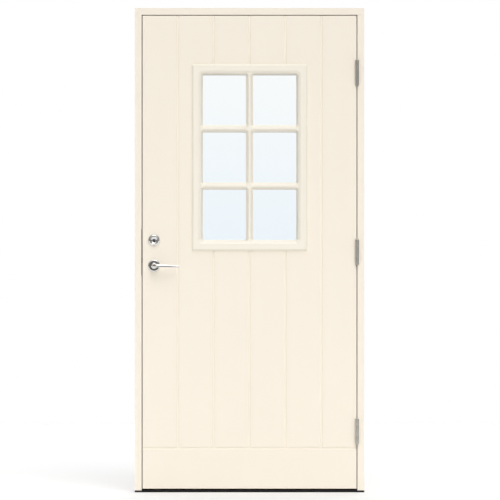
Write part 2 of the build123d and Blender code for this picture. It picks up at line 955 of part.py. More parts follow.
def moulding():
    """The six-light frame lying on its back: X across, Y up the window, Z out of the face.

    A flat border with an outer slope stands on the board, an inner slope falls to the level of
    the muntin ridges, and every pane has its own bevelled opening, so that four bevels meet in a
    mitred point at each crossing.
    """
    outer_w = frame_outer_width
    outer_h = frame_outer_height
    edge = extrude(level_face(outer_w, outer_h, moulding_corner), moulding_edge)
    slope = loft([
        Pos(0, 0, moulding_edge) * level_face(outer_w, outer_h, moulding_corner),
        Pos(0, 0, moulding_height) * level_face(
            outer_w - 2 * moulding_outer_slope, outer_h - 2 * moulding_outer_slope, moulding_corner,
        ),
    ], ruled=True)
    collar = Pos(0, 0, -collar_depth) * extrude(
        Rectangle(hole_width - 2 * collar_gap, hole_height - 2 * collar_gap), collar_depth,
    )
    body = edge + slope + collar
    inner_w = light_width + 2 * return_width
    inner_h = light_height + 2 * return_width
    trough = loft([
        Pos(0, 0, ridge_height) * level_face(inner_w, inner_h, pane_corner_top),
        Pos(0, 0, moulding_height) * level_face(
            inner_w + 2 * moulding_inner_slope, inner_h + 2 * moulding_inner_slope, trough_corner,
        ),
    ], ruled=True)
    trough += Pos(0, 0, moulding_height) * extrude(level_face(
        inner_w + 2 * moulding_inner_slope, inner_h + 2 * moulding_inner_slope, trough_corner,
    ), 1)
    body -= trough
    for column in range(pane_columns):
        for row in range(pane_rows):
            body -= pane_cutter(column, row)
    return body


def glazing_frame_outer():
    """The moulding stood up against the outer boards."""
    return Pos(0, front, light_centre_z) * Rot(90, 0, 0) * moulding()


def glazing_frame_inner():
    body = mirror(glazing_frame_outer(), about=Plane.XZ.offset(-leaf_mid_y))
    for place in glazing_screw_places():
        body -= glazing_screw_hole(place)
    return body


def glazing_screw_places():
    """Screws from indoors through the flat of the inner moulding into the trimmers."""
    x = hole_width / 2 + trimmer_width / 3
    z = hole_height / 2 + trimmer_width / 3
    surface = leaf_back + moulding_height
    centres = [(side * x, level * hole_height / 3) for side in (-1, 1) for level in (-1, 0, 1)]
    centres += [(side * hole_width / 4, level * z) for side in (-1, 1) for level in (-1, 1)]
    return [Pos(cx, surface, light_centre_z + cz) * Rot(90, 0, 0) for cx, cz in centres]


def glazing_screw_hole(place):
    return screw(place, glazing_screw_length, glazing_screw_radius + screw_play, glazing_screw_head)


def glazing_screws():
    return group(
        screw(place, glazing_screw_length, glazing_screw_radius, glazing_screw_head - screw_play)
        for place in glazing_screw_places()
    )


# Lock

def forend_blank():
    low = (case_bottom + case_top - forend_height) / 2
    plate = block(
        -leaf_x, -leaf_x + forend_thickness,
        leaf_mid_y - forend_width / 2, leaf_mid_y + forend_width / 2, low, low + forend_height,
    )
    return fillet(plate.edges().filter_by(Axis.X), forend_corner)


def forend_screw_places():
    low = (case_bottom + case_top - forend_height) / 2
    levels = [low + forend_screw_edge, low + forend_height - forend_screw_edge]
    return [Pos(-leaf_x, leaf_mid_y, z) * Rot(0, 90, 0) for z in levels]


def bolt_window(z, height, x0, x1):
    """The opening for a bolt, a little larger than the bolt."""
    return block(
        x0, x1, bolt_front - bolt_play, bolt_back + bolt_play,
        z - height / 2 - bolt_play, z + height / 2 + bolt_play,
    )


def lock_forend():
    body = forend_blank()
    x0 = -leaf_x - 1
    x1 = case_x + 1
    body -= bolt_window(latch_z, latch_height, x0, x1)
    body -= bolt_window(dead_bolt_z, dead_bolt_height, x0, x1)
    for place in forend_screw_places():
        body -= screw(place, hinge_screw_length, hinge_screw_radius + screw_play, hinge_screw_head)
    return body


def lock_face_holes(y0, y1):
    """Holes through the case and its cover for the follower, the cam and the long screws."""
    screw_hole = face_screw_radius + screw_play
    holes = [
        rod_y(lock_x, y0, y1, handle_z, follower_boss_radius + boss_play),
        rod_y(lock_x, y0, y1, cylinder_z, cam_hub_radius + boss_play),
    ]
    for side in (-1, 1):
        x = lock_x + side * face_screw_offset
        holes.append(rod_y(x, y0, y1, handle_z, screw_hole, screw_sides))
        x = lock_x + side * cylinder_screw_offset
        holes.append(rod_y(x, y0, y1, cylinder_z, screw_hole, screw_sides))
    return holes


def lock_case():
    """A folded steel tray that is open towards indoors, where its cover lies."""
    tray_back = case_back - case_wall
    body = block(case_x, case_end, case_front, tray_back, case_bottom, case_top)
    body -= block(
        case_x + case_wall, case_end - case_wall, case_front + case_wall, tray_back + 1,
        case_bottom + case_wall, case_top - case_wall,
    )
    body -= bolt_window(latch_z, latch_height, case_x - 1, case_x + case_wall + 1)
    body -= bolt_window(dead_bolt_z, dead_bolt_height, case_x - 1, case_x + case_wall + 1)
    for hole in lock_face_holes(case_front - 1, case_front + case_wall + 1):
        body -= hole
    return body


def lock_case_cover():
    body = block(case_x, case_end, case_back - case_wall, case_back, case_bottom, case_top)
    for hole in lock_face_holes(case_back - case_wall - 1, case_back + 1):
        body -= hole
    return body


def latch_bolt():
    """A bevelled head, a tail over the follower and a lug that the follower's arm pushes."""
    head_front_x = -leaf_x - latch_throw
    head_back_x = case_x + latch_head_length
    lug_x = lock_x + follower_arm_width / 2 + arm_play
    outline = [
        (head_front_x, bolt_front),
        (head_back_x, bolt_front),
        (head_back_x, bolt_back),
        (-leaf_x - 1, bolt_back),
        (head_front_x, bolt_front + latch_nose),
    ]
    face = make_face(FilletPolyline(*outline, radius=[0.8, 0, 0, 2, 0.8], close=True))
    head = Pos(0, 0, latch_z - latch_height / 2) * extrude(face, latch_height)
    tail_y0 = leaf_mid_y - tail_thickness / 2
    tail_y1 = leaf_mid_y + tail_thickness / 2
    tail_z0 = handle_z + follower_arm + 1
    lug_z0 = handle_z + follower_radius + lug_play
    tail = block(
        head_back_x - 1, lug_x + lug_width, tail_y0, tail_y1, tail_z0, tail_z0 + tail_height,
    )
    lug = block(lug_x, lug_x + lug_width, tail_y0, tail_y1, lug_z0, tail_z0 + 1)
    return head + tail + lug


def follower():
    """The hub that the spindle turns, with its arm and the heel that the spring presses."""
    hub_half = (case_thickness - 2 * case_wall) / 2 - hub_side_play
    plate_half = tail_thickness / 2
    hub = rod_y(lock_x, leaf_mid_y - hub_half, leaf_mid_y + hub_half, handle_z, follower_radius)
    bosses = rod_y(lock_x, case_front, case_back, handle_z, follower_boss_radius)
    arm_half = follower_arm_width / 2
    arm = block(
        lock_x - arm_half, lock_x + arm_half, leaf_mid_y - plate_half, leaf_mid_y + plate_half,
        handle_z, handle_z + follower_arm,
    )
    arm = fillet(arm.edges().filter_by(Axis.Y).group_by(Axis.Z)[-1], follower_arm_corner)
    heel = block(
        lock_x - arm_half, lock_x + arm_half, leaf_mid_y - plate_half, leaf_mid_y + plate_half,
        handle_z - follower_arm, handle_z,
    )
    heel = fillet(heel.edges().filter_by(Axis.Y).group_by(Axis.Z)[0], follower_arm_corner)
    hole = spindle_size / 2 + spindle_play / 2
    square = block(
        lock_x - hole, lock_x + hole, case_front - 1, case_back + 1, handle_z - hole, handle_z + hole,
    )
    return hub + bosses + arm + heel - square


def bent_strip(points, thickness, y0, y1):
    """A flat spring: a bent strip of steel, its line drawn in the XZ plane."""
    line = Polyline(*points)
    strip = offset(line, thickness / 2, side=Side.BOTH)
    face = Plane.XZ * make_face(strip)
    return Pos(0, y1, 0) * extrude(face, y1 - y0)


def latch_spring():
    """A bent flat spring between the case's end wall and the back of the latch."""
    latch_back = lock_x + follower_arm_width / 2 + arm_play + lug_width
    end = case_end - case_wall
    half = spring_strip / 2
    bend_z = handle_z + follower_radius
    top_z = latch_z + 1
    points = [
        (end - half, top_z + 10),
        (end - half, bend_z + 4),
        (end - half - 3, bend_z),
        (latch_back + half + 0.05, top_z),
    ]
    return bent_strip(points, spring_strip, leaf_mid_y - spring_height / 2, leaf_mid_y + spring_height / 2)


def handle_spring():
    """A bent flat spring from the case's floor to the heel of the follower."""
    floor = case_bottom + case_wall
    half = spring_strip / 2
    heel_face = lock_x - follower_arm_width / 2
    points = [
        (heel_face - 26, floor + half),
        (heel_face - 8, floor + half),
        (heel_face - 4, floor + 6),
        (heel_face - half - 0.05, handle_z - follower_arm + 3),
    ]
    return bent_strip(points, spring_strip, leaf_mid_y - spring_height / 2, leaf_mid_y + spring_height / 2)


def dead_bolt():
    """A square bolt whose tail has a notch for the cam's pin."""
    head_back_x = -leaf_x + backset - dead_bolt_clear
    low = dead_bolt_z - dead_bolt_height / 2
    head = block(-leaf_x, head_back_x, bolt_front, bolt_back, low, low + dead_bolt_height)
    head = chamfer(head.faces().sort_by(Axis.X)[0].edges(), bolt_bevel)
    tail_top = cylinder_z - cam_hub_radius - 1
    notch_x = lock_x + dead_bolt_throw / 2
    notch_half = cam_pin_radius + cam_pin_play
    tail = block(
        head_back_x - 1, notch_x + notch_half + dead_bolt_tail_end,
        bolt_back - dead_bolt_tail, bolt_back, low + 2, tail_top,
    )
    notch_bottom = cylinder_z - cam_reach - cam_pin_radius - cam_pin_play
    notch = block(
        notch_x - notch_half, notch_x + notch_half, bolt_back - dead_bolt_tail - 1, bolt_back + 1,
        notch_bottom, tail_top + 1,
    )
    return head + tail - notch


def bolt_cam():
    """The hub on the cylinder line, its arm and the pin in the dead bolt's notch."""
    plate_y0 = leaf_mid_y - cam_plate_forward
    plate_y1 = plate_y0 + cam_plate_thickness
    hub = rod_y(lock_x, case_front, case_back, cylinder_z, cam_hub_radius)
    reach = dead_bolt_throw / 2
    arm_outline = make_hull([
        *(Pos(0, 0) * Circle(cam_hub_radius)).edges(),
        *(Pos(reach, -reach) * Circle(cam_pin_radius + 1)).edges(),
    ])
    arm = Pos(lock_x, plate_y1, cylinder_z) * extrude(Plane.XZ * arm_outline, cam_plate_thickness)
    pin = rod_y(
        lock_x + reach, plate_y1 - 1, bolt_back - bolt_play, cylinder_z - reach, cam_pin_radius,
    )
    half_w = (tail_bar_thickness + plug_play) / 2
    half_h = (tail_bar_width + plug_play) / 2
    slot = block(
        lock_x - half_w, lock_x + half_w, case_front - 1, case_back + 1,
        cylinder_z - half_h, cylinder_z + half_h,
    )
    return hub + arm + pin - slot


def lock_screws():
    """The forend's screws and the long screws that clamp rosettes and cylinder to the case."""
    pieces = [
        screw(place, hinge_screw_length, hinge_screw_radius, hinge_screw_head - screw_play)
        for place in forend_screw_places()
    ]
    for side in (-1, 1):
        x = lock_x + side * face_screw_offset
        shank = rod_y(
            x, front - rosette_screw_depth, leaf_back + 1, handle_z, face_screw_radius, screw_sides,
        )
        head = rod_y(
            x, leaf_back, leaf_back + face_screw_cap, handle_z, face_screw_head, screw_sides,
        )
        pieces.append(shank + head)
        x = lock_x + side * cylinder_screw_offset
        shank = rod_y(
            x, case_front - cylinder_screw_depth, case_back + 1, cylinder_z, face_screw_radius, screw_sides,
        )
        head = rod_y(x, case_back, case_back + face_screw_cap, cylinder_z, face_screw_head, screw_sides)
        pieces.append(shank + head)
    return group(pieces)


# Strike

def strike_blank():
    low = strike_centre_z - strike_height / 2
    plate = block(
        -rebate_x - strike_thickness, -rebate_x,
        front, leaf_mid_y + strike_window_width / 2 + strike_margin, low, low + strike_height,
    )
    corners = plate.edges().filter_by(Axis.X).group_by(Axis.Y)[-1]
    return fillet(corners, strike_corner)


def strike_screw_places():
    low = strike_centre_z - strike_height / 2
    levels = [low + strike_screw_edge, low + strike_height - strike_screw_edge]
    return [Pos(-rebate_x, leaf_mid_y, z) * Rot(0, -90, 0) for z in levels]


def strike_plate():
    body = strike_blank()
    half = strike_window_width / 2
    for low, high in strike_windows():
        window = block(
            -rebate_x - strike_thickness - 1, -rebate_x + 1,
            leaf_mid_y - half, leaf_mid_y + half, low, high,
        )
        body -= fillet(window.edges().filter_by(Axis.X), strike_window_corner)
    for place in strike_screw_places():
        body -= screw(place, hinge_screw_length, hinge_screw_radius + screw_play, hinge_screw_head)
    return body


def strike_screws():
    return group(
        screw(place, hinge_screw_length, hinge_screw_radius, hinge_screw_head - screw_play)
        for place in strike_screw_places()
    )


# Furniture

def indoors(piece):
    """The same piece on the inner face."""
    return mirror(piece, about=Plane.XZ.offset(-leaf_mid_y))


def rose(bore):
    """A round rose: an upright edge, a rim bent over in two bevels and a flat face."""
    rim = rosette_radius - rosette_face
    rise = rosette_height - rosette_edge
    outline = [
        (rosette_radius, 0),
        (rosette_radius, rosette_edge),
        (rosette_radius - 0.35 * rim, rosette_edge + 0.65 * rise),
        (rosette_face, rosette_height),
    ]
    return turned(outline, bore)


def outdoors(z):
    """The place of a turned piece on the outer face, on the lock's line."""
    return Pos(lock_x, front, z) * Rot(90, 0, 0)


def on_inner_face(z):
    return Pos(lock_x, leaf_back, z) * Rot(-90, 0, 0)


def outside_rosette():
    """The outer rose, tapped behind for the clamping screws."""
    body = outdoors(handle_z) * rose(neck_radius + neck_play)
    for side in (-1, 1):
        x = lock_x + side * face_screw_offset
        body -= rod_y(
            x, front - rosette_screw_depth, front + 1, handle_z, face_screw_radius + screw_play, screw_sides,
        )
    return body


def inside_rosette():
    """The inner rose, hollow behind over the heads of the clamping screws."""
    body = on_inner_face(handle_z) * rose(neck_radius + neck_play)
    for side in (-1, 1):
        x = lock_x + side * face_screw_offset
        body -= rod_y(
            x, leaf_back - 1, leaf_back + rosette_screw_depth + screw_play, handle_z,
            face_screw_head + screw_play, screw_sides,
        )
    return body


def lever_path(distance):
    """Centre and direction of the lever at a distance along it, in its own plane.

    Returns (x, out, tangent angle): out is away from the door's face.
    """
    straight = lever_projection - lever_bend
    bend = lever_bend * math.pi / 2
    if distance < straight:
        return 0.0, distance, 90.0
    if distance < straight + bend:
        angle = (distance - straight) / lever_bend
        x = lever_bend * (1 - math.cos(angle))
        out = straight + lever_bend * math.sin(angle)
        return x, out, 90.0 - math.degrees(angle)
    return lever_bend + distance - straight - bend, lever_projection, 0.0


def lever_section(distance, height, depth):
    """An oval across the lever, height along Z and depth across the path."""
    x, out, angle = lever_path(distance)
    reach = max(0.0, x - lever_bend)
    droop = lever_droop * (reach / (lever_length - lever_bend)) ** 1.5
    radians = math.radians(angle)
    plane = Plane(
        origin=(lock_x + x, front - out, handle_z - droop),
        x_dir=(0, 0, 1),
        z_dir=(math.cos(radians), -math.sin(radians), 0),
    )
    points = []
    for index in range(lever_sides):
        turn = 2 * math.pi * (index + 0.5) / lever_sides
        points.append((height / 2 * math.cos(turn), depth / 2 * math.sin(turn)))
    return plane * make_face(Polyline(*points, close=True))


def outside_lever():
    """A tapered oval lever lofted out of its round neck, with the spindle's socket."""
    straight = lever_projection - lever_bend
    bend = lever_bend * math.pi / 2
    total = straight + bend + lever_length - lever_bend
    neck = 2 * (neck_radius - neck_play)
    stretches = [(straight, neck, neck)]
    for share in (0.35, 0.7, 1.0):
        height = neck + share * (lever_root_height - neck)
        depth = neck + share * (lever_root_depth - neck)
        stretches.append((straight + share * bend, height, depth))
    stretches += [
        (total - lever_end, lever_tip_height, lever_tip_depth),
        (total, lever_tip_height / 2, lever_tip_depth / 2),
    ]
    body = loft([lever_section(*stretch) for stretch in stretches], ruled=True)
    neck_middle = front - (straight + neck_play) / 2
    body += round_bar(
        lock_x, neck_middle, handle_z, Rot(90, 0, 0), neck / 2, straight - neck_play,
    )
    half = (spindle_size + spindle_play) / 2
    socket = block(
        lock_x - half, lock_x + half, front - socket_depth, front, handle_z - half, handle_z + half,
    )
    return body - socket


def inside_lever():
    return indoors(outside_lever())


def spindle():
    half = spindle_size / 2
    body = block(
        lock_x - half, lock_x + half, front - spindle_reach, leaf_back + spindle_reach,
        handle_z - half, handle_z + half,
    )
    return chamfer(body.edges().filter_by(Axis.Y), 0.5)


def cylinder_ring():
    """A conical collar with a hollow round the cylinder's nose."""
    bore = housing_radius + housing_play
    outline = [
        (rosette_radius, 0),
        (rosette_radius, rosette_edge),
        (ring_shoulder, ring_height),
    ]
    rise = ring_height - ring_inner_height
    hollow = Pos(0, 0, ring_inner_height) * tapered(bore, ring_shoulder, rise, rose_sides)
    return outdoors(ring_z) * (turned(outline, bore) - hollow)


def cylinder_housing():
    """The cylinder's body through the outer half of the leaf."""
    body = rod_y(lock_x, front - housing_height, case_front, ring_z, housing_radius, rose_sides)
    body -= rod_y(lock_x, front - ring_height, case_front + 1, cylinder_z, plug_radius + plug_play)
    for side in (-1, 1):
        x = lock_x + side * cylinder_screw_offset
        body -= rod_y(
            x, case_front - cylinder_screw_depth - 1, case_front + 1, cylinder_z,
            face_screw_radius + screw_play, screw_sides,
        )
    return body


def cylinder_plug():
    """The plug that the key turns, with its key slot and the flat tail that reaches the cam."""
    face = front - housing_height + plug_setback
    plug = rod_y(lock_x, face, case_front - plug_setback, cylinder_z, plug_radius)
    slot = block(
        lock_x - key_slot_width / 2, lock_x + key_slot_width / 2, face - 1, case_front - key_slot_end,
        cylinder_z - key_slot_height / 2, cylinder_z + key_slot_height / 2,
    )
    tail = block(
        lock_x - tail_bar_thickness / 2, lock_x + tail_bar_thickness / 2,
        case_front - 1, leaf_mid_y - tail_bar_gap,
        cylinder_z - tail_bar_width / 2, cylinder_z + tail_bar_width / 2,
    )
    return plug - slot + tail


def thumb_turn_rose():
    return on_inner_face(cylinder_z) * rose(turn_neck_radius + neck_play)


def thumb_turn():
    """An upright grip on a round neck, with the flat tail that turns the cam."""
    face = leaf_back + rosette_height + neck_play
    neck = rod_y(lock_x, leaf_back + neck_play, face + 1, cylinder_z, turn_neck_radius)
    grip_face = Plane.XZ * SlotOverall(turn_grip_height, turn_grip_width, rotation=90)
    grip = Pos(lock_x, face + turn_grip_depth, cylinder_z) * extrude(grip_face, turn_grip_depth)
    grip = chamfer(grip.edges().group_by(Axis.Y)[-1], turn_grip_bevel)
    tail = block(
        lock_x - tail_bar_thickness / 2, lock_x + tail_bar_thickness / 2,
        leaf_mid_y + tail_bar_gap, leaf_back + 1,
        cylinder_z - tail_bar_width / 2, cylinder_z + tail_bar_width / 2,
    )
    return neck + grip + tail


nodes = {
    "threshold": threshold(),
    "jamb_hinge_side": jamb_hinge_side(),
    "jamb_lock_side": jamb_lock_side(),
    "frame_head": frame_head(),
    "frame_seal": frame_seal(),
    "threshold_seal": threshold_seal(),
    "frame_corner_screws": frame_corner_screws(),
    "fixing_sleeves": fixing_sleeves(),
    "strike_plate": strike_plate(),
    "strike_screws": strike_screws(),
    "hinge_pins": hinge_pins(),
    "hinge_washers": hinge_washers(),
    "hinge_frame_screws": hinge_screws(1),
    "outer_skin": outer_skin(),
    "inner_skin": inner_skin(),
    "outer_stabiliser": outer_stabiliser(),
    "inner_stabiliser": inner_stabiliser(),
    "hinge_stile": hinge_stile(),
    "lock_stile": lock_stile(),
    "top_rail": top_rail(),
    "bottom_rail": bottom_rail(),
    "window_trimmers": window_trimmers(),
    "insulation_core": insulation_core(),
    "glass_outer": glass_outer(),
    "glass_middle": glass_middle(),
    "glass_inner": glass_inner(),
    "glass_spacers": glass_spacers(),
    "glazing_blocks": glazing_blocks(),
    "glazing_gaskets": glazing_gaskets(),
    "glazing_frame_outer": glazing_frame_outer(),
    "glazing_frame_inner": glazing_frame_inner(),
    "glazing_screws": glazing_screws(),
    "hinge_leaf_screws": hinge_screws(-1),
    "lock_case": lock_case(),
    "lock_case_cover": lock_case_cover(),
    "lock_forend": lock_forend(),
    "latch_spring": latch_spring(),
    "handle_spring": handle_spring(),
    "lock_screws": lock_screws(),
    "outside_rosette": outside_rosette(),
    "inside_rosette": inside_rosette(),
    "cylinder_ring": cylinder_ring(),
    "cylinder_housing": cylinder_housing(),
    "thumb_turn_rose": thumb_turn_rose(),
    "outside_lever": outside_lever(),
    "inside_lever": inside_lever(),
    "spindle": spindle(),
    "follower": follower(),
    "latch_bolt": latch_bolt(),
    "dead_bolt": dead_bolt(),
    "thumb_turn": thumb_turn(),
    "bolt_cam": bolt_cam(),
    "cylinder_plug": cylinder_plug(),
}
for name, centre in zip(hinge_names, hinge_heights):
    nodes[f"hinge_{name}_frame_half"] = hinge_frame_half(centre)
    nodes[f"hinge_{name}_leaf_half"] = hinge_leaf_half(centre)

os.makedirs("parts", exist_ok=True)
for name, piece in nodes.items():
    export_step(piece, f"parts/{name}.step")
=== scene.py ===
"""The finish of a grooved front door with a six-light window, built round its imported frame."""

import math

import bmesh
import bpy
from bpy.props import FloatProperty, FloatVectorProperty, PointerProperty
from bpy.types import Operator, Panel, PropertyGroup
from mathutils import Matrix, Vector


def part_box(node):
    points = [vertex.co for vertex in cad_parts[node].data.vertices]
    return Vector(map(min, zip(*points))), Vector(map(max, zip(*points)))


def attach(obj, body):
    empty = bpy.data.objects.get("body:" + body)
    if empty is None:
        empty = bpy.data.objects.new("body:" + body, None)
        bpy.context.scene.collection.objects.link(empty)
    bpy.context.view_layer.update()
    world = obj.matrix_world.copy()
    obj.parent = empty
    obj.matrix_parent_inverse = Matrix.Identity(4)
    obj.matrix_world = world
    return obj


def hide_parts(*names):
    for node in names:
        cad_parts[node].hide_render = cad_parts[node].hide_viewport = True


bl_info = {
    "name": "Front door finish",
    "version": (1, 0, 0),
    "blender": (4, 5, 0),
    "location": "View3D > Sidebar > Front door",
    "description": "Paint, glass, metal and small fittings for a front door in its frame",
    "category": "Object",
}

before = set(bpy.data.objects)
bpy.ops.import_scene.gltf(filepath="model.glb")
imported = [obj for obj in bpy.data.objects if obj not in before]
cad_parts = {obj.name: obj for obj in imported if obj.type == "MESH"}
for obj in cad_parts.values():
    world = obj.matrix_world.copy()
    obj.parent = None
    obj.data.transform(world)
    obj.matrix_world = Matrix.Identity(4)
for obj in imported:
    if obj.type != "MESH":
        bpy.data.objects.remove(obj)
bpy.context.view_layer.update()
MM = 0.001  # the named lengths below are in millimetres, apart from the stage's

AROUND = 96  # sides of a turned piece
OVAL = 64  # sides of a lever's or a grip's section
ARC_STEPS = 5  # steps in a rounded corner
SHARP_ANGLE = math.radians(32)
TINY = 1e-6  # anything smaller counts as nothing

# Outlines below hold (radius, height above the face, rounding) corners

ROSE_RADIUS = 27
ROSE_RIM = 4  # from the flat face to the edge
ROSE_SLOPE = (1.3, 2.1)  # where it meets the rim, in from the edge and below the flat face
ROSE_ROUNDING = 1.6
ROSE_EDGE_ROUNDING = 1.2
BORE_ROUNDING = 0.5
LEVER_BORE = 10.5
TURN_BORE = 7.5
PLAY = 0.5  # between a turning piece and what it stands on

COLLAR_UNDERSIDE = 0.4  # from the end of the plain neck to the collar's foot
COLLAR_STEPS = ((0, -0.8), (0.5, 0), (1.2, -0.2))  # past the foot, added to the collar
NECK_STEPS = ((2.4, 3.4), (4.2, 1.4), (7, 0.3), (10, 0))  # past the foot, added to the neck
BEND_STEPS = 24
GRIP_STEPS = 32
TIP_LENGTH = 2.2
TIP_STEPS = (0.3, 0.6, 0.85, 0.97, 1.0)
TIP_FULLNESS = 0.92
GRIP_FLATNESS = 0.62  # of the lower half of the grip's front
DROOP_POWER = 1.5

RING = (
    (15.8, 0, 0), (15.8, 8, 0.3), (18.2, 12, 0.8), (19.6, 12, 0.9), (23.4, 8.8, 2.5),
    (26.3, 4.6, 1.8), (27, 2.3, 1), (27, 0, 0),
)
NOSE_OUT = 7.5
NOSE_RADIUS = 15.5
NOSE_DISH = ((14.4, NOSE_OUT, 0.3), (8, 5, 1), (0, 4.4, 0))
PLUG_OUT = 7.2
PLUG_RADIUS = 5.4
PLUG_BORE = ((0, 1, 0), (5.5, 1, 0), (5.5, 20, 0), (0, 20, 0))
PLUG_DISH = ((4.5, PLUG_OUT, 0.2), (2.6, 5.2, 0.5), (0, 5.2, 0))
KEY_SLOT_WIDTH = 1.8
KEY_SLOT_HEIGHT = 7.5
KEY_SLOT_DEPTH = (-9, 6)  # from in front of the leaf's face to behind it

TURN_NECK = 7
TURN_UNDERSIDE = 0.01  # from the end of the neck to the grip's foot
TURN_STEPS = (  # past the foot, drawn in from the full grip
    (0, 0.9), (0.4, 0.25), (1.2, 0), (9, 0.5), (16, 0.1), (18.2, 0.3), (19.3, 1.0),
    (19.85, 2.0), (20, 3.2),
)

HINGES = ("top", "middle", "bottom")
HINGE_HEIGHT = 111
BARRELS = {"frame": ((0, 33), (80, HINGE_HEIGHT)), "leaf": ((34, 79),)}
WASHER_LEVELS = (33, 79)
WASHER_THICKNESS = 1
WASHER_PLAY = 0.06
WASHER_RADIUS = 6.6
WASHER_EDGE = 0.2
KNUCKLE_RADIUS = 8
PIN_BORE = 4.2
PIN_BORE_EDGE = 0.2
PLATE_THICKNESS = 2.5
PLATE_REACH = 32
PLATE_CORNER = 6
LEG_INSET = 1

HEAD_SIDES = 32
SHANK_SIDES = 16
SCREW_CONE = 3  # height of a countersunk head
SLOT_LENGTH = 0.55  # of the head's diameter, as is the width
SLOT_WIDTH = 0.13
HINGE_SCREW = (4, 24)  # shank and length
HINGE_SCREW_STEP = 34
HINGE_SCREW_NEAR = 12  # from the leaf's face to the middle screw
HINGE_SCREW_FAR = 20  # and to the outer screws
HINGE_SCREW_PROUD = 0.12
GLAZING_SCREW = (3.6, 42)
GLAZING_HEAD = (3.55, 3.07)  # half of a CAD screw's six-sided head, across and up
GLAZING_EDGE = 35 / 3  # from the window hole's edge to the screws

# The stage, in metres; the world's levels are (start, end, level at start, level at end)
FLOOR_SIZE = 14
FLOOR_DROP = 0.0005
SIDES = (0.12, 0.62, 1.84, 0.22)
CAMERA_SPOT = (-0.99, -0.90, 0.08, 1.0)
KEY_LAMP = {"towards": (0.22, -0.70, 0.68), "strength": 0.7, "angle": 30}
VIEW_DISTANCE = 100


def linear(red, green, blue):
    """A display colour of 0 to 255 as linear values."""
    values = []
    for level in (red, green, blue):
        share = level / 255
        values.append(share / 12.92 if share <= 0.04045 else ((share + 0.055) / 1.055) ** 2.4)
    return tuple(values)


def colour_property(name, description, default):
    return FloatVectorProperty(
        name=name, description=description, subtype="COLOR", size=3, min=0, max=1, default=default,
    )


def length_property(name, description, millimetres):
    return FloatProperty(
        name=name, description=description, subtype="DISTANCE", unit="LENGTH",
        default=millimetres * MM,
    )


class DoorColours(PropertyGroup):
    """Colours of the painted and plain surfaces."""

    paint: colour_property("Paint", "Cream paint of leaf and frame", linear(250, 241, 226))
    moulding: colour_property("Moulding", "Cream of the window moulding", linear(248, 242, 228))
    sill: colour_property("Sill", "Black of the threshold", linear(17, 15, 14))
    rubber: colour_property("Rubber", "Colour of the seals", linear(52, 49, 46))
    steel: colour_property("Steel", "Satin steel of hinges and plates", linear(202, 200, 194))
    chrome: colour_property("Chrome", "Polished chrome of the furniture", linear(232, 232, 230))
    brass: colour_property("Brass", "Brass of the hinge washers", linear(150, 142, 122))
    # Painted shade: the plug's metal is darkened far below brass so its sunken face reads as shaded
    plug: colour_property("Plug", "Browned metal of the cylinder's plug", linear(52, 46, 40))
    timber: colour_property("Timber", "Bare pine inside the leaf", linear(222, 190, 142))
    # The glass's own faint tint with a painted reflection: the two colours below are blended by
    # height, so the panes show a painted reflection, a little bluer towards the bottom
    glass_tint_and_reflection_top: colour_property("Glass, top", "Tint of the glass at the top", linear(254, 255, 255))
    glass_tint_and_reflection_bottom: colour_property(
        "Glass, bottom", "Tint of the glass at the bottom", linear(250, 253, 255),
    )


class DoorSizes(PropertyGroup):
    """Sizes of the finish that do not come from the frame."""

    rose_height: length_property("Rose height", "From the door's face to a rose's flat face", 8.5)
    rose_edge: length_property("Rose edge", "Upright edge of a rose", 2.5)
    lever_projection: length_property("Lever projection", "From the door's face to the grip", 48)
    lever_bend: length_property("Lever bend", "Radius of the lever's bend", 17)
    lever_droop: length_property("Lever droop", "How far the tip hangs below the neck", 3.5)
    neck: length_property("Lever neck", "Diameter of the lever's round neck", 19)
    collar: length_property("Lever collar", "Diameter of the flare at the neck's foot", 26)
    root_height: length_property("Lever root height", "Height of the grip at the bend", 13)
    root_depth: length_property("Lever root depth", "Depth of the grip at the bend", 12)
    tip_height: length_property("Lever tip height", "Height of the grip at its tip", 9)
    tip_depth: length_property("Lever tip depth", "Depth of the grip at its tip", 7)
    grip_height: length_property("Thumb turn height", "Height of the thumb turn's grip", 36)
    grip_width: length_property("Thumb turn width", "Width of the thumb turn's grip", 11)
    knuckle_end: length_property("Knuckle end", "Rounding of a hinge knuckle's ends", 1.4)
    screw_head: length_property("Screw head", "Diameter of a countersunk screw's head", 7.8)
    stipple: length_property("Paint stipple", "Spacing of the roller stipple in the paint", 1.6)
    stipple_depth: length_property("Stipple depth", "Height of the roller stipple", 0.02)
    camera_distance: length_property("Camera distance", "From the door's face to the camera", 17985)
    camera_lens: FloatProperty(name="Lens", description="Focal length of the camera", default=300)
    camera_height: length_property("Camera height", "Height of the camera above the floor", 1045.4)
    camera_side: length_property("Camera side", "Camera to the right of the door's middle", 2.0)


def colours():
    return bpy.context.scene.door_colours


def sizes():
    return bpy.context.scene.door_sizes


def size(name):
    """One of the door's sizes, in millimetres."""
    return getattr(sizes(), name) / MM


# Materials

def new_material(name):
    material = bpy.data.materials.new(name)
    material.use_nodes = True
    tree = material.node_tree
    shader = tree.nodes["Principled BSDF"]
    return material, tree, shader


def node(tree, kind, **settings):
    made = tree.nodes.new(kind)
    for key, value in settings.items():
        setattr(made, key, value)
    return made


def object_coordinates(tree, scale=(1, 1, 1)):
    """Object coordinates through a Mapping node."""
    source = node(tree, "ShaderNodeTexCoord")
    mapping = node(tree, "ShaderNodeMapping")
    mapping.inputs["Scale"].default_value = scale
    tree.links.new(source.outputs["Object"], mapping.inputs["Vector"])
    return mapping.outputs["Vector"]


def noise(tree, vector, scale, detail=2.0, roughness=0.5):
    made = node(tree, "ShaderNodeTexNoise")
    made.inputs["Scale"].default_value = scale
    made.inputs["Detail"].default_value = detail
    made.inputs["Roughness"].default_value = roughness
    tree.links.new(vector, made.inputs["Vector"])
    return made.outputs["Fac"]


def ramp(tree, value, low, high):
    """A value of 0 to 1 spread between two numbers."""
    made = node(tree, "ShaderNodeMapRange")
    made.inputs["To Min"].default_value = low
    made.inputs["To Max"].default_value = high
    tree.links.new(value, made.inputs["Value"])
    return made.outputs["Result"]


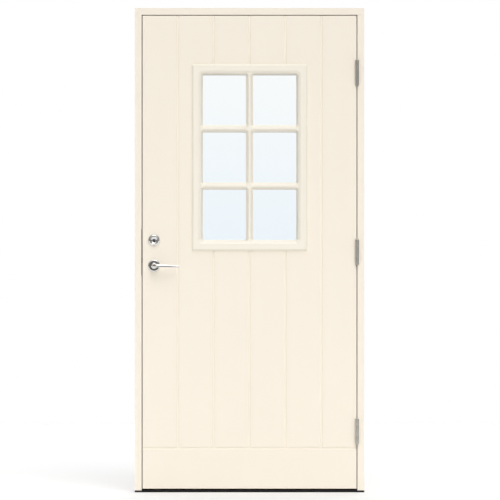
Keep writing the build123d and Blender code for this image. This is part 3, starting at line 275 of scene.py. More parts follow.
def blend_colours(tree, factor, first, second):
    made = node(tree, "ShaderNodeMix", data_type="RGBA")
    made.inputs["A"].default_value = (*first, 1)
    made.inputs["B"].default_value = (*second, 1)
    tree.links.new(factor, made.inputs["Factor"])
    return made.outputs["Result"]


def scaled(colour, share):
    return tuple(min(1.0, level * share) for level in colour)


def mottled(tree, shader, factor, colour, low, high):
    """Lets a colour drift between two shares of itself."""
    mixed = blend_colours(tree, factor, scaled(colour, low), scaled(colour, high))
    tree.links.new(mixed, shader.inputs["Base Color"])


def bump(tree, shader, height, distance, strength=1.0):
    made = node(tree, "ShaderNodeBump")
    made.inputs["Distance"].default_value = distance
    made.inputs["Strength"].default_value = strength
    tree.links.new(height, made.inputs["Height"])
    tree.links.new(made.outputs["Normal"], shader.inputs["Normal"])


def painted(name, colour):
    """Sprayed satin paint: a faint drift of colour, roller stipple and uneven gloss."""
    material, tree, shader = new_material(name)
    vector = object_coordinates(tree)
    mottled(tree, shader, noise(tree, vector, scale=2.2, detail=3), colour, 0.985, 1.012)
    stipple = noise(tree, vector, scale=1 / sizes().stipple, roughness=0.6)
    tree.links.new(ramp(tree, stipple, 0.36, 0.5), shader.inputs["Roughness"])
    shader.inputs["Specular IOR Level"].default_value = 0.35
    bump(tree, shader, stipple, sizes().stipple_depth)
    return material


def black_sill():
    """Moulded composite with a fine grain."""
    material, tree, shader = new_material("black_sill")
    grain = noise(tree, object_coordinates(tree), scale=900, detail=3, roughness=0.6)
    mottled(tree, shader, grain, colours().sill, 0.75, 1.35)
    tree.links.new(ramp(tree, grain, 0.6, 0.8), shader.inputs["Roughness"])
    shader.inputs["Specular IOR Level"].default_value = 0.3
    bump(tree, shader, grain, distance=0.0001, strength=0.6)
    return material


def rubber():
    material, tree, shader = new_material("seal_rubber")
    grain = noise(tree, object_coordinates(tree), scale=1500)
    mottled(tree, shader, grain, colours().rubber, 0.85, 1.15)
    shader.inputs["Roughness"].default_value = 0.6
    bump(tree, shader, grain, distance=0.00005)
    return material


def satin_steel(name, colour, scale, low, high):
    """Ground steel with fine lines.

    scale stretches the grinding along one axis; low and high bound the roughness.
    """
    material, tree, shader = new_material(name)
    lines = noise(tree, object_coordinates(tree, scale), scale=1.0, detail=4, roughness=0.65)
    mottled(tree, shader, lines, colour, 0.86, 1.06)
    shader.inputs["Metallic"].default_value = 1.0
    tree.links.new(ramp(tree, lines, low, high), shader.inputs["Roughness"])
    bump(tree, shader, lines, distance=0.00002, strength=0.5)
    return material


def chrome():
    """Polished plating with faint wipe marks."""
    material, tree, shader = new_material("polished_chrome")
    vector = object_coordinates(tree, (60, 60, 220))
    wipe = noise(tree, vector, scale=1.0, detail=3, roughness=0.6)
    mottled(tree, shader, wipe, colours().chrome, 0.96, 1.02)
    shader.inputs["Metallic"].default_value = 1.0
    tree.links.new(ramp(tree, wipe, 0.05, 0.11), shader.inputs["Roughness"])
    return material


def mottled_metal(name, colour, roughness):
    material, tree, shader = new_material(name)
    wipe = noise(tree, object_coordinates(tree, (900, 900, 900)), scale=1.0)
    mottled(tree, shader, wipe, colour, 0.8, 1.0)
    shader.inputs["Metallic"].default_value = 1.0
    shader.inputs["Roughness"].default_value = roughness
    return material


def timber():
    """Planed pine with rings stretched along the length."""
    material, tree, shader = new_material("planed_pine")
    vector = object_coordinates(tree, (60, 60, 2.5))
    rings = noise(tree, vector, scale=1.0, detail=5, roughness=0.6)
    mottled(tree, shader, rings, colours().timber, 0.78, 1.1)
    shader.inputs["Roughness"].default_value = 0.6
    bump(tree, shader, rings, distance=0.0002, strength=0.5)
    return material


def foam():
    material, tree, shader = new_material("rigid_foam")
    cells = noise(tree, object_coordinates(tree), scale=700)
    mixed = blend_colours(tree, cells, linear(222, 208, 160), linear(240, 230, 194))
    tree.links.new(mixed, shader.inputs["Base Color"])
    shader.inputs["Roughness"].default_value = 0.9
    bump(tree, shader, cells, distance=0.0003)
    return material


def clear_glass():
    """Float glass that lets lamps through; its tint holds a painted reflection, a little bluer
    towards the bottom.
    """
    material, tree, shader = new_material("clear_glass")
    low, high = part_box("glass_outer")
    place = node(tree, "ShaderNodeSeparateXYZ")
    tree.links.new(object_coordinates(tree), place.inputs["Vector"])
    height = node(tree, "ShaderNodeMapRange")
    height.inputs["From Min"].default_value = low[2]
    height.inputs["From Max"].default_value = high[2]
    tree.links.new(place.outputs["Z"], height.inputs["Value"])
    own = colours()
    # Painted reflection: the glass colour fades from the bottom colour to the top colour by height
    painted_reflection_gradient = blend_colours(tree, height.outputs["Result"], own.glass_tint_and_reflection_bottom, own.glass_tint_and_reflection_top)
    tree.links.new(painted_reflection_gradient, shader.inputs["Base Color"])
    shader.inputs["Transmission Weight"].default_value = 1.0
    shader.inputs["Roughness"].default_value = 0.0
    shader.inputs["IOR"].default_value = 1.5
    through = node(tree, "ShaderNodeBsdfTransparent")
    rays = node(tree, "ShaderNodeLightPath")
    mix = node(tree, "ShaderNodeMixShader")
    output = tree.nodes["Material Output"]
    tree.links.new(rays.outputs["Is Shadow Ray"], mix.inputs["Fac"])
    tree.links.new(shader.outputs["BSDF"], mix.inputs[1])
    tree.links.new(through.outputs["BSDF"], mix.inputs[2])
    tree.links.new(mix.outputs["Shader"], output.inputs["Surface"])
    return material


_made = {}


def finish(name):
    """A material by its name, made once."""
    own = colours()
    steel, dull, dark = own.steel, scaled(own.steel, 0.9), scaled(own.steel, 0.8)
    makers = {
        "paint": lambda: painted("cream_paint", own.paint),
        "moulding": lambda: painted("cream_moulding", own.moulding),
        "sill": black_sill,
        "rubber": rubber,
        "hinge": lambda: satin_steel("satin_hinge", steel, (900, 900, 14), 0.24, 0.36),
        "plate": lambda: satin_steel("satin_plate", steel, (900, 14, 900), 0.28, 0.4),
        "screw": lambda: satin_steel("zinc_screw", dark, (300, 300, 300), 0.25, 0.4),
        "sheet": lambda: satin_steel("mill_sheet", dull, (40, 40, 400), 0.35, 0.5),
        "chrome": chrome,
        "brass": lambda: mottled_metal("washer_brass", own.brass, 0.3),
        # The plug's finish is brass-toned metal darkened as painted shade for its sunken face
        "plug": lambda: mottled_metal("plug_with_painted_shade", own.plug, 0.4),
        "timber": timber,
        "foam": foam,
        "glass": clear_glass,
    }
    if name not in _made:
        _made[name] = makers[name]()
    return _made[name]


def dress(finish_name, *names):
    """Gives CAD nodes one material all over."""
    for name in names:
        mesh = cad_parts[name].data
        mesh.materials.clear()
        mesh.materials.append(finish(finish_name))


# Shapes

def closed_mesh(name, points, faces):
    """A mesh from points in millimetres, with its faces turned outwards."""
    mesh = bpy.data.meshes.new(name)
    mesh.from_pydata([tuple(value * MM for value in point) for point in points], [], faces)
    maker = bmesh.new()
    maker.from_mesh(mesh)
    bmesh.ops.recalc_face_normals(maker, faces=maker.faces)
    maker.to_mesh(mesh)
    maker.free()
    return mesh


def add_object(name, data):
    made = bpy.data.objects.new(name, data)
    bpy.context.scene.collection.objects.link(made)
    return made


def keep_piece(name, mesh, finish_name, body, slot_name, *nodes):
    """Smooths, paints and mounts a finished mesh that stands for CAD nodes."""
    mesh.materials.clear()
    mesh.materials.append(finish(finish_name))
    mesh.shade_smooth()
    mesh.set_sharp_from_angle(angle=SHARP_ANGLE)
    piece = add_object(name, mesh)
    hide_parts(*nodes)
    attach(piece, body)


def make_piece(name, shape, *mounting):
    """Keeps a shape of (points, faces) as a piece; mounting is as for keep_piece."""
    keep_piece(name, closed_mesh(name, *shape), *mounting)


def rounded(outline):
    """An outline of (across, up, rounding) corners as points, each corner drawn as an arc."""
    points = []
    count = len(outline)
    for index, (across, up, cut) in enumerate(outline):
        corner = Vector((across, up))
        if not cut:
            points.append(corner)
            continue
        before = Vector(outline[index - 1][:2]) - corner
        after = Vector(outline[(index + 1) % count][:2]) - corner
        start = corner + before.normalized() * min(cut, before.length / 2)
        end = corner + after.normalized() * min(cut, after.length / 2)
        for step in range(ARC_STEPS + 1):
            share = step / ARC_STEPS
            points.append(start.lerp(corner, share).lerp(corner.lerp(end, share), share))
    return points


def circle(sides):
    """Cosine and sine of each step round a circle."""
    turns = [2 * math.pi * index / sides for index in range(sides)]
    return [(math.cos(turn), math.sin(turn)) for turn in turns]


def turned(outline, spot):
    """Turns a closed outline of (radius, height, rounding) about an axis.

    spot(across, side, height) gives the place of a point; corners at radius 0 become one point.
    """
    points, rings = [], []
    for radius, height in rounded(outline):
        first = len(points)
        if radius < TINY:
            points.append(spot(0, 0, height))
            rings.append([first] * AROUND)
            continue
        points += [spot(radius * across, radius * up, height) for across, up in circle(AROUND)]
        rings.append(list(range(first, first + AROUND)))
    return points, ring_faces(rings, closed=True)


def ring_faces(rings, closed):
    """Faces between neighbouring rings of point numbers, without doubled corners."""
    faces = []
    last = len(rings) if closed else len(rings) - 1
    for index in range(last):
        here, there = rings[index], rings[(index + 1) % len(rings)]
        for side in range(len(here)):
            beside = (side + 1) % len(here)
            corners = []
            for corner in (here[side], here[beside], there[beside], there[side]):
                if corner not in corners:
                    corners.append(corner)
            if len(corners) > 2:
                faces.append(corners)
    return faces


def centre_of(name):
    """Centre of a CAD node across the door and up it, in millimetres."""
    low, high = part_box(name)
    return (low[0] + high[0]) / 2 / MM, (low[2] + high[2]) / 2 / MM


def outer_face():
    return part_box("outer_skin")[0][1] / MM


def inner_face():
    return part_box("inner_skin")[1][1] / MM


def on_face(x, z, outdoors):
    """Places a turned piece's points on the outer or inner face of the leaf."""
    face, away = (outer_face(), -1) if outdoors else (inner_face(), 1)
    return lambda across, side, height: (x + across, face + away * height, z + side)


def rose_outline(bore):
    height = size("rose_height")
    inset, fall = ROSE_SLOPE
    return (
        (bore, 0, 0), (bore, height, BORE_ROUNDING),
        (ROSE_RADIUS - ROSE_RIM, height, ROSE_ROUNDING),
        (ROSE_RADIUS - inset, height - fall, ROSE_ROUNDING),
        (ROSE_RADIUS, size("rose_edge"), ROSE_EDGE_ROUNDING), (ROSE_RADIUS, 0, 0),
    )


def stretch(sections):
    """Joins like sections, each a list of points, into one closed body."""
    points, rings = [], []
    for section in sections:
        rings.append(list(range(len(points), len(points) + len(section))))
        points += section
    faces = ring_faces(rings, closed=False)
    faces += [list(reversed(rings[0])), rings[-1]]
    return points, faces


def lever_place(distance, straight, bend):
    """Across, out and turn of the lever's middle line at a distance along it."""
    curve = bend * math.pi / 2
    if distance < straight:
        return 0.0, distance, math.pi / 2
    if distance < straight + curve:
        angle = (distance - straight) / bend
        return bend * (1 - math.cos(angle)), straight + bend * math.sin(angle), math.pi / 2 - angle
    return bend + distance - straight - curve, straight + bend, 0.0


def lever_stops(straight, curve, total):
    """(distance, height, depth, flatness) of each section along a lever."""
    neck, collar = size("neck"), size("collar")
    root_height, root_depth = size("root_height"), size("root_depth")
    tip_height, tip_depth = size("tip_height"), size("tip_depth")
    foot = size("rose_height") + PLAY
    flare = [(PLAY, neck), (foot - COLLAR_UNDERSIDE, neck)]
    flare += [(foot + past, collar + more) for past, more in COLLAR_STEPS]
    flare += [(foot + past, neck + more) for past, more in NECK_STEPS]
    stops = [(at, width, width, 0.0) for at, width in flare]
    for step in range(BEND_STEPS + 1):
        share = step / BEND_STEPS
        ease = share * share * (3 - 2 * share)
        height = neck + ease * (root_height - neck)
        depth = neck + ease * (root_depth - neck)
        stops.append((straight + share * curve, height, depth, ease))
    grip_start, grip_end = straight + curve, total - TIP_LENGTH
    for step in range(1, GRIP_STEPS + 1):
        share = step / GRIP_STEPS
        height = root_height + share * (tip_height - root_height)
        depth = root_depth + share * (tip_depth - root_depth)
        stops.append((grip_start + share * (grip_end - grip_start), height, depth, 1.0))
    for share in TIP_STEPS:
        fullness = math.sqrt(1 - (share * TIP_FULLNESS) ** 2)
        at = grip_end + share * TIP_LENGTH
        stops.append((at, tip_height * fullness, tip_depth * fullness, 1.0))
    return stops


def lever_sections(reach, outdoors):
    """Sections of a lever: round at the neck, flat in front and full on top along the grip."""
    bend = size("lever_bend")
    straight = size("lever_projection") - bend
    curve = bend * math.pi / 2
    place = on_face(*centre_of("outside_rosette"), outdoors)
    sections = []
    for at, height, depth, flat in lever_stops(straight, curve, straight + curve + reach - bend):
        across, out, turn = lever_place(at, straight, bend)
        past = max(0.0, across - bend)
        drop = size("lever_droop") * (past / (reach - bend)) ** DROOP_POWER
        section = []
        for up, front in circle(OVAL):
            power = 1 - GRIP_FLATNESS * flat if up < 0 < front else 1
            rise = math.copysign(abs(up) ** power, up) * height / 2
            push = math.copysign(abs(front) ** power, front) * depth / 2
            section.append(place(
                across - push * math.sin(turn), rise - drop, out + push * math.cos(turn),
            ))
        sections.append(section)
    return sections


def turn_sections(place):
    """Sections of the thumb turn: a round neck, then an upright oval grip."""
    half, side = size("grip_height") / 2, size("grip_width") / 2
    foot = size("rose_height") + PLAY
    sections = [
        [place(TURN_NECK * across, TURN_NECK * up, out) for across, up in circle(OVAL)]
        for out in (PLAY, foot - TURN_UNDERSIDE)
    ]
    for past, inset in TURN_STEPS:
        reach = side - inset
        section = []
        for across, up in circle(OVAL):
            lift = math.copysign(half - side, up) if abs(up) > TINY else 0.0
            section.append(place(reach * across, lift + reach * up, foot + past))
        sections.append(section)
    return sections


def cut_away(shape, cutter):
    """Cuts one closed shape of (points, faces) out of another and returns a mesh."""
    body = add_object("cutting", closed_mesh("blank", *shape))
    tool = add_object("cutter", closed_mesh("cutter", *cutter))
    modifier = body.modifiers.new("cut", "BOOLEAN")
    modifier.operation = "DIFFERENCE"
    modifier.solver = "EXACT"
    modifier.object = tool
    graph = bpy.context.evaluated_depsgraph_get()
    result = bpy.data.meshes.new_from_object(body.evaluated_get(graph))
    for thing in (body, tool):
        bpy.data.objects.remove(thing)
    return result


def cuboid(x0, x1, y0, y1, z0, z1):
    points = [(x, y, z) for x in (x0, x1) for y in (y0, y1) for z in (z0, z1)]
    faces = [(0, 1, 3, 2), (4, 6, 7, 5), (0, 4, 5, 1), (2, 3, 7, 6), (0, 2, 6, 4), (1, 5, 7, 3)]
    return points, faces


def together(*shapes):
    """Several closed shapes, each (points, faces), as one list of points and faces."""
    points, faces = [], []
    for some_points, some_faces in shapes:
        shift = len(points)
        points += some_points
        faces += [[corner + shift for corner in face] for face in some_faces]
    return points, faces


def pin_line():
    """Where the hinge pins stand, across the door and in front of it."""
    low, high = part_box("hinge_pins")
    return (low[0] + high[0]) / 2 / MM, (low[1] + high[1]) / 2 / MM


def on_pin():
    """Places a turned piece's points round the hinge pins."""
    pin_x, pin_y = pin_line()
    return lambda across, side, height: (pin_x + across, pin_y + side, height)


def knuckle(low, high):
    end = size("knuckle_end")
    outline = (
        (PIN_BORE, low, PIN_BORE_EDGE), (PIN_BORE, high, PIN_BORE_EDGE),
        (KNUCKLE_RADIUS, high, end), (KNUCKLE_RADIUS, low, end),
    )
    return turned(outline, on_pin())


def washer(level):
    low, high = level + WASHER_PLAY, level + WASHER_THICKNESS - WASHER_PLAY
    outline = (
        (PIN_BORE, low, 0), (PIN_BORE, high, 0),
        (WASHER_RADIUS, high, WASHER_EDGE), (WASHER_RADIUS, low, WASHER_EDGE),
    )
    return turned(outline, on_pin())


def hinge_half(place, side):
    """A plate with a leg and a rounded barrel for each of its knuckles."""
    frame_low, frame_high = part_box(f"hinge_{place}_frame_half")
    bottom, top = frame_low[2] / MM, frame_high[2] / MM
    if side == "frame":
        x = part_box("hinge_frame_screws")[0][0] / MM
    else:
        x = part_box("hinge_leaf_screws")[1][0] / MM - PLATE_THICKNESS
    front = outer_face()
    inner = front + PLATE_REACH
    rim = rounded((
        (front, bottom, 0), (inner, bottom, PLATE_CORNER),
        (inner, top, PLATE_CORNER), (front, top, 0),
    ))
    shapes = [stretch([[(x + step, y, z) for y, z in rim] for step in (0, PLATE_THICKNESS)])]
    for start, end in BARRELS[side]:
        low, high = bottom + start, bottom + end
        leg = cuboid(
            x, x + PLATE_THICKNESS, pin_line()[1], front, low + LEG_INSET, high - LEG_INSET,
        )
        shapes += [leg, knuckle(low, high)]
    return together(*shapes)


def screw_tree():
    """Countersunk screws with crossed slots, one on every point of a mesh."""
    tree = bpy.data.node_groups.new("countersunk_screws", "GeometryNodeTree")
    link = tree.links.new
    sockets = tree.interface
    sockets.new_socket("Places", in_out="INPUT", socket_type="NodeSocketGeometry")
    for name in ("Head", "Shank", "Length"):
        socket = sockets.new_socket(name, in_out="INPUT", socket_type="NodeSocketFloat")
        socket.subtype = "DISTANCE"
    sockets.new_socket("Aim", in_out="INPUT", socket_type="NodeSocketVector")
    sockets.new_socket("Finish", in_out="INPUT", socket_type="NodeSocketMaterial")
    sockets.new_socket("Screws", in_out="OUTPUT", socket_type="NodeSocketGeometry")
    given, result = node(tree, "NodeGroupInput"), node(tree, "NodeGroupOutput")

    def maths(operation, first, second):
        made = node(tree, "ShaderNodeMath", operation=operation)
        for socket, value in zip(made.inputs, (first, second)):
            if isinstance(value, (int, float)):
                socket.default_value = value
            else:
                link(value, socket)
        return made.outputs[0]

    def half(value):
        return maths("MULTIPLY", value, 0.5)

    cone = SCREW_CONE * MM
    head_width = given.outputs["Head"]
    shank_radius = half(given.outputs["Shank"])
    head = node(tree, "GeometryNodeMeshCone")
    head.inputs["Vertices"].default_value = HEAD_SIDES
    head.inputs["Depth"].default_value = cone
    link(half(head_width), head.inputs["Radius Bottom"])
    link(shank_radius, head.inputs["Radius Top"])
    slots = node(tree, "GeometryNodeJoinGeometry")
    for across, along in ((SLOT_LENGTH, SLOT_WIDTH), (SLOT_WIDTH, SLOT_LENGTH)):
        box_size = node(tree, "ShaderNodeCombineXYZ")
        link(maths("MULTIPLY", head_width, across), box_size.inputs["X"])
        link(maths("MULTIPLY", head_width, along), box_size.inputs["Y"])
        box_size.inputs["Z"].default_value = cone
        slot = node(tree, "GeometryNodeMeshCube")
        link(box_size.outputs["Vector"], slot.inputs["Size"])
        link(slot.outputs["Mesh"], slots.inputs["Geometry"])
    cut = node(tree, "GeometryNodeMeshBoolean", operation="DIFFERENCE")
    link(head.outputs["Mesh"], cut.inputs["Mesh 1"])
    link(slots.outputs["Geometry"], cut.inputs["Mesh 2"])
    shank = node(tree, "GeometryNodeMeshCylinder")
    shank.inputs["Vertices"].default_value = SHANK_SIDES
    link(shank_radius, shank.inputs["Radius"])
    length = maths("SUBTRACT", given.outputs["Length"], cone)
    link(length, shank.inputs["Depth"])
    shank_middle = node(tree, "ShaderNodeCombineXYZ")
    link(maths("ADD", half(length), cone), shank_middle.inputs["Z"])
    lifted = node(tree, "GeometryNodeTransform")
    link(shank.outputs["Mesh"], lifted.inputs["Geometry"])
    link(shank_middle.outputs["Vector"], lifted.inputs["Translation"])
    whole = node(tree, "GeometryNodeJoinGeometry")
    link(cut.outputs["Mesh"], whole.inputs["Geometry"])
    link(lifted.outputs["Geometry"], whole.inputs["Geometry"])
    placed = node(tree, "GeometryNodeInstanceOnPoints")
    link(given.outputs["Places"], placed.inputs["Points"])
    link(whole.outputs["Geometry"], placed.inputs["Instance"])
    link(given.outputs["Aim"], placed.inputs["Rotation"])
    solid = node(tree, "GeometryNodeRealizeInstances")
    link(placed.outputs["Instances"], solid.inputs["Geometry"])
    coloured = node(tree, "GeometryNodeSetMaterial")
    link(solid.outputs["Geometry"], coloured.inputs["Geometry"])
    link(given.outputs["Finish"], coloured.inputs["Material"])
    link(coloured.outputs["Geometry"], result.inputs["Screws"])
    return tree


def screws(name, places, aim, shank_and_length, body, node_name):
    """Screws at places in millimetres; aim turns them from pointing up."""
    tree = bpy.data.node_groups.get("countersunk_screws") or screw_tree()
    mesh = bpy.data.meshes.new("screw_places")
    mesh.from_pydata([tuple(value * MM for value in place) for place in places], [], [])
    carrier = add_object("screw_places", mesh)
    modifier = carrier.modifiers.new("screws", "NODES")
    modifier.node_group = tree
    shank, length = shank_and_length
    values = {
        "Head": sizes().screw_head, "Shank": shank * MM, "Length": length * MM,
        "Aim": aim, "Finish": finish("screw"),
    }
    for socket in tree.interface.items_tree:
        if socket.in_out == "INPUT" and socket.name in values:
            modifier[socket.identifier] = values[socket.name]
    graph = bpy.context.evaluated_depsgraph_get()
    made = bpy.data.meshes.new_from_object(carrier.evaluated_get(graph))
    bpy.data.objects.remove(carrier)
    keep_piece(name, made, "screw", body, "steel", node_name)


# Operators

class PaintedWood(Operator):
    """Paint the boards, the leaf's edges and the frame"""

    bl_idname = "door.painted_wood"
    bl_label = "Painted wood"

    def execute(self, context):
        dress("paint", "outer_skin", "inner_skin", "jamb_hinge_side", "jamb_lock_side", "frame_head")
        dress("paint", "hinge_stile", "lock_stile", "top_rail", "bottom_rail")
        return {"FINISHED"}


class LeafFilling(Operator):
    """Finish what lies between the skins"""

    bl_idname = "door.leaf_filling"
    bl_label = "Leaf filling"

    def execute(self, context):
        dress("timber", "window_trimmers")
        dress("foam", "insulation_core")
        dress("sheet", "outer_stabiliser", "inner_stabiliser")
        return {"FINISHED"}


class Window(Operator):
    """Finish the mouldings, panes, spacers and gaskets"""

    bl_idname = "door.window"
    bl_label = "Window"

    def execute(self, context):
        dress("moulding", "glazing_frame_outer", "glazing_frame_inner")
        dress("glass", "glass_outer", "glass_middle", "glass_inner")
        dress("rubber", "glass_spacers", "glazing_blocks", "glazing_gaskets")
        low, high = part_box("glazing_screws")
        middle_z = (low[2] + high[2]) / 2 / MM
        wide = (high[0] - low[0]) / 2 / MM - GLAZING_HEAD[0]
        tall = (high[2] - low[2]) / 2 / MM - GLAZING_HEAD[1]
        rows, columns = (tall - GLAZING_EDGE) * 2 / 3, (wide - GLAZING_EDGE) / 2
        spots = [(side * wide, level * rows) for side in (-1, 1) for level in (-1, 0, 1)]
        spots += [(side * columns, level * tall) for side in (-1, 1) for level in (-1, 1)]
        places = [(across, high[1] / MM, middle_z + up) for across, up in spots]
        aim = (math.radians(90), 0, 0)
        screws("inner_frame_screws", places, aim, GLAZING_SCREW, "leaf", "glazing_screws")
        return {"FINISHED"}


class Threshold(Operator):
    """Finish the threshold and the seals"""

    bl_idname = "door.threshold"
    bl_label = "Threshold and seals"

    def execute(self, context):
        dress("sill", "threshold")
        dress("rubber", "frame_seal", "threshold_seal")
        return {"FINISHED"}


class Hinges(Operator):
    """Finish the hinges and their screws"""

    bl_idname = "door.hinges"
    bl_label = "Hinges"

    def execute(self, context):
        dress("hinge", "hinge_pins")
        bottoms = [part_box(f"hinge_{place}_frame_half")[0][2] / MM for place in HINGES]
        for place in HINGES:
            for side in ("frame", "leaf"):
                make_piece(
                    f"{place}_hinge_{side}_side", hinge_half(place, side),
                    "hinge", side, "satin_steel", f"hinge_{place}_{side}_half",
                )
        washers = [washer(bottom + level) for bottom in bottoms for level in WASHER_LEVELS]
        make_piece(
            "knuckle_washers", together(*washers), "brass", "frame", "brass", "hinge_washers",
        )
        front = outer_face()
        for side, turn in (("frame", 90), ("leaf", -90)):
            name = f"hinge_{side}_screws"
            low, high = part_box(name)
            out = -HINGE_SCREW_PROUD if side == "frame" else HINGE_SCREW_PROUD
            x = (low if side == "frame" else high)[0] / MM + out
            places = [
                (
                    x, front + (HINGE_SCREW_FAR if step else HINGE_SCREW_NEAR),
                    bottom + HINGE_HEIGHT / 2 + HINGE_SCREW_STEP * step,
                )
                for bottom in bottoms for step in (-1, 0, 1)
            ]
            aim = (0, math.radians(turn), 0)
            screws(f"{side}_hinge_screws", places, aim, HINGE_SCREW, side, name)
        return {"FINISHED"}


class Lock(Operator):
    """Finish the lock, its plates and the wall fixings"""

    bl_idname = "door.lock"
    bl_label = "Lock"

    def execute(self, context):
        dress("plate", "lock_forend", "strike_plate", "lock_case", "lock_case_cover")
        dress("screw", "strike_screws", "lock_screws", "frame_corner_screws", "fixing_sleeves")
        dress("screw", "latch_bolt", "dead_bolt", "follower", "bolt_cam", "spindle")
        dress("screw", "latch_spring", "handle_spring")
        return {"FINISHED"}


class Furniture(Operator):
    """Finish the levers and their roses"""

    bl_idname = "door.furniture"
    bl_label = "Levers and roses"

    def execute(self, context):
        for outdoors, side in ((True, "outside"), (False, "inside")):
            rose, lever = f"{side}_rosette", f"{side}_lever"
            shape = turned(rose_outline(LEVER_BORE), on_face(*centre_of(rose), outdoors))
            make_piece(f"{side}_rose", shape, "chrome", "leaf", "chrome", rose)
            reach = (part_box(lever)[1][0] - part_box(lever)[0][0]) / MM - sizes().neck / MM / 2
            shape = stretch(lever_sections(reach, outdoors))
            make_piece(f"{side}_grip", shape, "chrome", "handle", "chrome", lever)
        return {"FINISHED"}


class Cylinder(Operator):
    """Finish the cylinder, its ring and its plug"""

    bl_idname = "door.cylinder"
    bl_label = "Cylinder"

    def execute(self, context):
        place = on_face(*centre_of("cylinder_ring"), True)
        make_piece(
            "cylinder_collar", turned(RING, place), "chrome", "leaf", "chrome", "cylinder_ring",
        )
        low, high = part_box("cylinder_housing")
        back = (low[1] - high[1]) / MM + NOSE_OUT
        nose = (
            (0, back, 0), (NOSE_RADIUS, back, 0), (NOSE_RADIUS, NOSE_OUT, 0.5), *NOSE_DISH,
        )
        plug_x, plug_z = centre_of("cylinder_plug")
        plug_place = on_face(plug_x, plug_z, True)
        body = cut_away(turned(nose, place), turned(PLUG_BORE, plug_place))
        keep_piece("cylinder_nose", body, "chrome", "leaf", "steel", "cylinder_housing")
        low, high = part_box("cylinder_plug")
        tail = (low[1] - high[1]) / MM + PLUG_OUT
        plug = (
            (0, tail, 0), (PLUG_RADIUS, tail, 0), (PLUG_RADIUS, PLUG_OUT, 0.5), *PLUG_DISH,
        )
        front = outer_face()
        wide, tall = KEY_SLOT_WIDTH / 2, KEY_SLOT_HEIGHT / 2
        key_slot = cuboid(
            plug_x - wide, plug_x + wide, front + KEY_SLOT_DEPTH[0], front + KEY_SLOT_DEPTH[1],
            plug_z - tall, plug_z + tall,
        )
        body = cut_away(turned(plug, plug_place), key_slot)
        keep_piece("key_plug", body, "plug", "plug", "brass", "cylinder_plug")
        return {"FINISHED"}


class ThumbTurn(Operator):
    """Finish the thumb turn on the inner face"""

    bl_idname = "door.thumb_turn"
    bl_label = "Thumb turn"

    def execute(self, context):
        place = on_face(*centre_of("thumb_turn_rose"), False)
        shape = turned(rose_outline(TURN_BORE), place)
        make_piece("turn_rose", shape, "chrome", "leaf", "chrome", "thumb_turn_rose")
        shape = stretch(turn_sections(place))
        make_piece("turn_grip", shape, "chrome", "turn", "chrome", "thumb_turn")
        return {"FINISHED"}


def pale_floor():
    """A level square just under the threshold, centred under the door."""
    material, _, shader = new_material("pale_floor")
    shader.inputs["Base Color"].default_value = (0.92, 0.92, 0.92, 1)
    shader.inputs["Roughness"].default_value = 0.8
    shader.inputs["Specular IOR Level"].default_value = 0.1
    half, drop = FLOOR_SIZE / 2, -FLOOR_DROP
    corners = [(-half, -half, drop), (half, -half, drop), (half, half, drop), (-half, half, drop)]
    mesh = bpy.data.meshes.new("floor")
    mesh.from_pydata(corners, [], [(0, 1, 2, 3)])
    mesh.materials.append(material)
    return add_object("floor", mesh)


def sun_lamp(name, towards, strength, angle):
    """An even lamp; towards points from the object to it, angle is its softness in degrees."""
    data = bpy.data.lights.new(name, "SUN")
    data.energy = strength
    data.angle = math.radians(angle)
    lamp = add_object(name, data)
    lamp.rotation_euler = (-Vector(towards)).to_track_quat("-Z", "Y").to_euler()


def fade(tree, value, start, end, low, high):
    """A level that eases from low to high as a value goes from start to end."""
    made = node(tree, "ShaderNodeMapRange", interpolation_type="SMOOTHSTEP")
    limits = zip(("From Min", "From Max", "To Min", "To Max"), (start, end, low, high))
    for name, level in limits:
        made.inputs[name].default_value = level
    tree.links.new(value, made.inputs["Value"])
    return made.outputs["Result"]


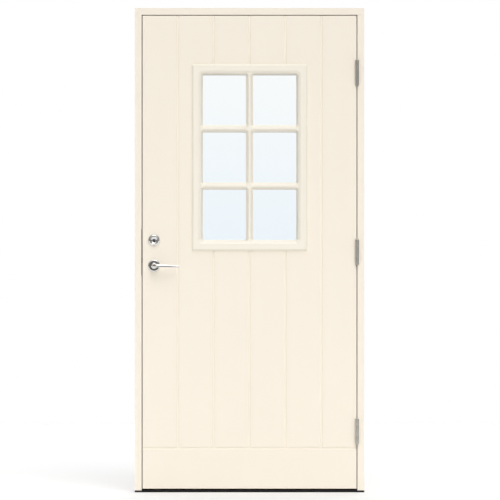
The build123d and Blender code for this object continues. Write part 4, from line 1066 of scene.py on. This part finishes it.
def pale_world():
    """White to the camera and through glass; to all else a studio, dim at the sides.

    The studio is bright above, below and behind, and has a dark spot where the camera stands.
    """
    world = bpy.data.worlds.new("pale_studio")
    bpy.context.scene.world = world
    world.use_nodes = True
    tree = world.node_tree
    direction = node(tree, "ShaderNodeTexCoord")
    parts = node(tree, "ShaderNodeSeparateXYZ")
    tree.links.new(direction.outputs["Generated"], parts.inputs["Vector"])
    sideways = node(tree, "ShaderNodeMath", operation="ABSOLUTE")
    tree.links.new(parts.outputs["X"], sideways.inputs[0])
    studio = node(tree, "ShaderNodeMath", operation="MULTIPLY")
    for socket, level in zip(studio.inputs, (
        fade(tree, sideways.outputs["Value"], *SIDES),
        fade(tree, parts.outputs["Y"], *CAMERA_SPOT),
    )):
        tree.links.new(level, socket)
    rays = node(tree, "ShaderNodeLightPath")
    seen = node(tree, "ShaderNodeMath", operation="MAXIMUM")
    for socket, name in zip(seen.inputs, ("Is Camera Ray", "Is Transmission Ray")):
        tree.links.new(rays.outputs[name], socket)
    shown = node(tree, "ShaderNodeMix", data_type="FLOAT")
    tree.links.new(seen.outputs["Value"], shown.inputs["Factor"])
    tree.links.new(studio.outputs["Value"], shown.inputs["A"])
    shown.inputs["B"].default_value = 1.0
    background = tree.nodes["Background"]
    tree.links.new(shown.outputs["Result"], background.inputs["Strength"])
    background.inputs["Color"].default_value = (1, 1, 1, 1)


class Stage(Operator):
    """Set up the floor, the lamps, the world and the camera"""

    bl_idname = "door.stage"
    bl_label = "Stage"

    def execute(self, context):
        scene = context.scene
        scene.view_settings.view_transform = "Standard"
        floor = pale_floor()
        pale_world()
        sun_lamp("key_lamp", **KEY_LAMP)
        own = sizes()
        data = bpy.data.cameras.new("camera")
        data.lens = own.camera_lens
        data.clip_end = VIEW_DISTANCE
        camera = add_object("camera", data)
        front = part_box("outer_skin")[0][1]
        camera.location = (own.camera_side, front - own.camera_distance, own.camera_height)
        camera.rotation_euler = (math.radians(90), 0, 0)
        scene.camera = camera
        return {"FINISHED"}


class FinishPanel(Panel):
    """Buttons for each group of pieces, with the colours and sizes"""

    bl_idname = "VIEW3D_PT_front_door"
    bl_label = "Front door"
    bl_space_type = "VIEW_3D"
    bl_region_type = "UI"
    bl_category = "Front door"

    def draw(self, context):
        layout = self.layout
        for operator in OPERATORS:
            layout.operator(operator.bl_idname)
        for group in (context.scene.door_colours, context.scene.door_sizes):
            for name in group.__annotations__:
                layout.prop(group, name)


OPERATORS = (
    PaintedWood, LeafFilling, Window, Threshold, Hinges, Lock, Furniture, Cylinder, ThumbTurn, Stage,
)
CLASSES = (DoorColours, DoorSizes, *OPERATORS, FinishPanel)


def register():
    for item in CLASSES:
        bpy.utils.register_class(item)
    bpy.types.Scene.door_colours = PointerProperty(type=DoorColours)
    bpy.types.Scene.door_sizes = PointerProperty(type=DoorSizes)


def unregister():
    del bpy.types.Scene.door_sizes
    del bpy.types.Scene.door_colours
    for item in reversed(CLASSES):
        bpy.utils.unregister_class(item)


def main():
    register()
    for operator in OPERATORS:
        group, name = operator.bl_idname.split(".")
        getattr(getattr(bpy.ops, group), name)()


if __name__ == "__main__":
    main()
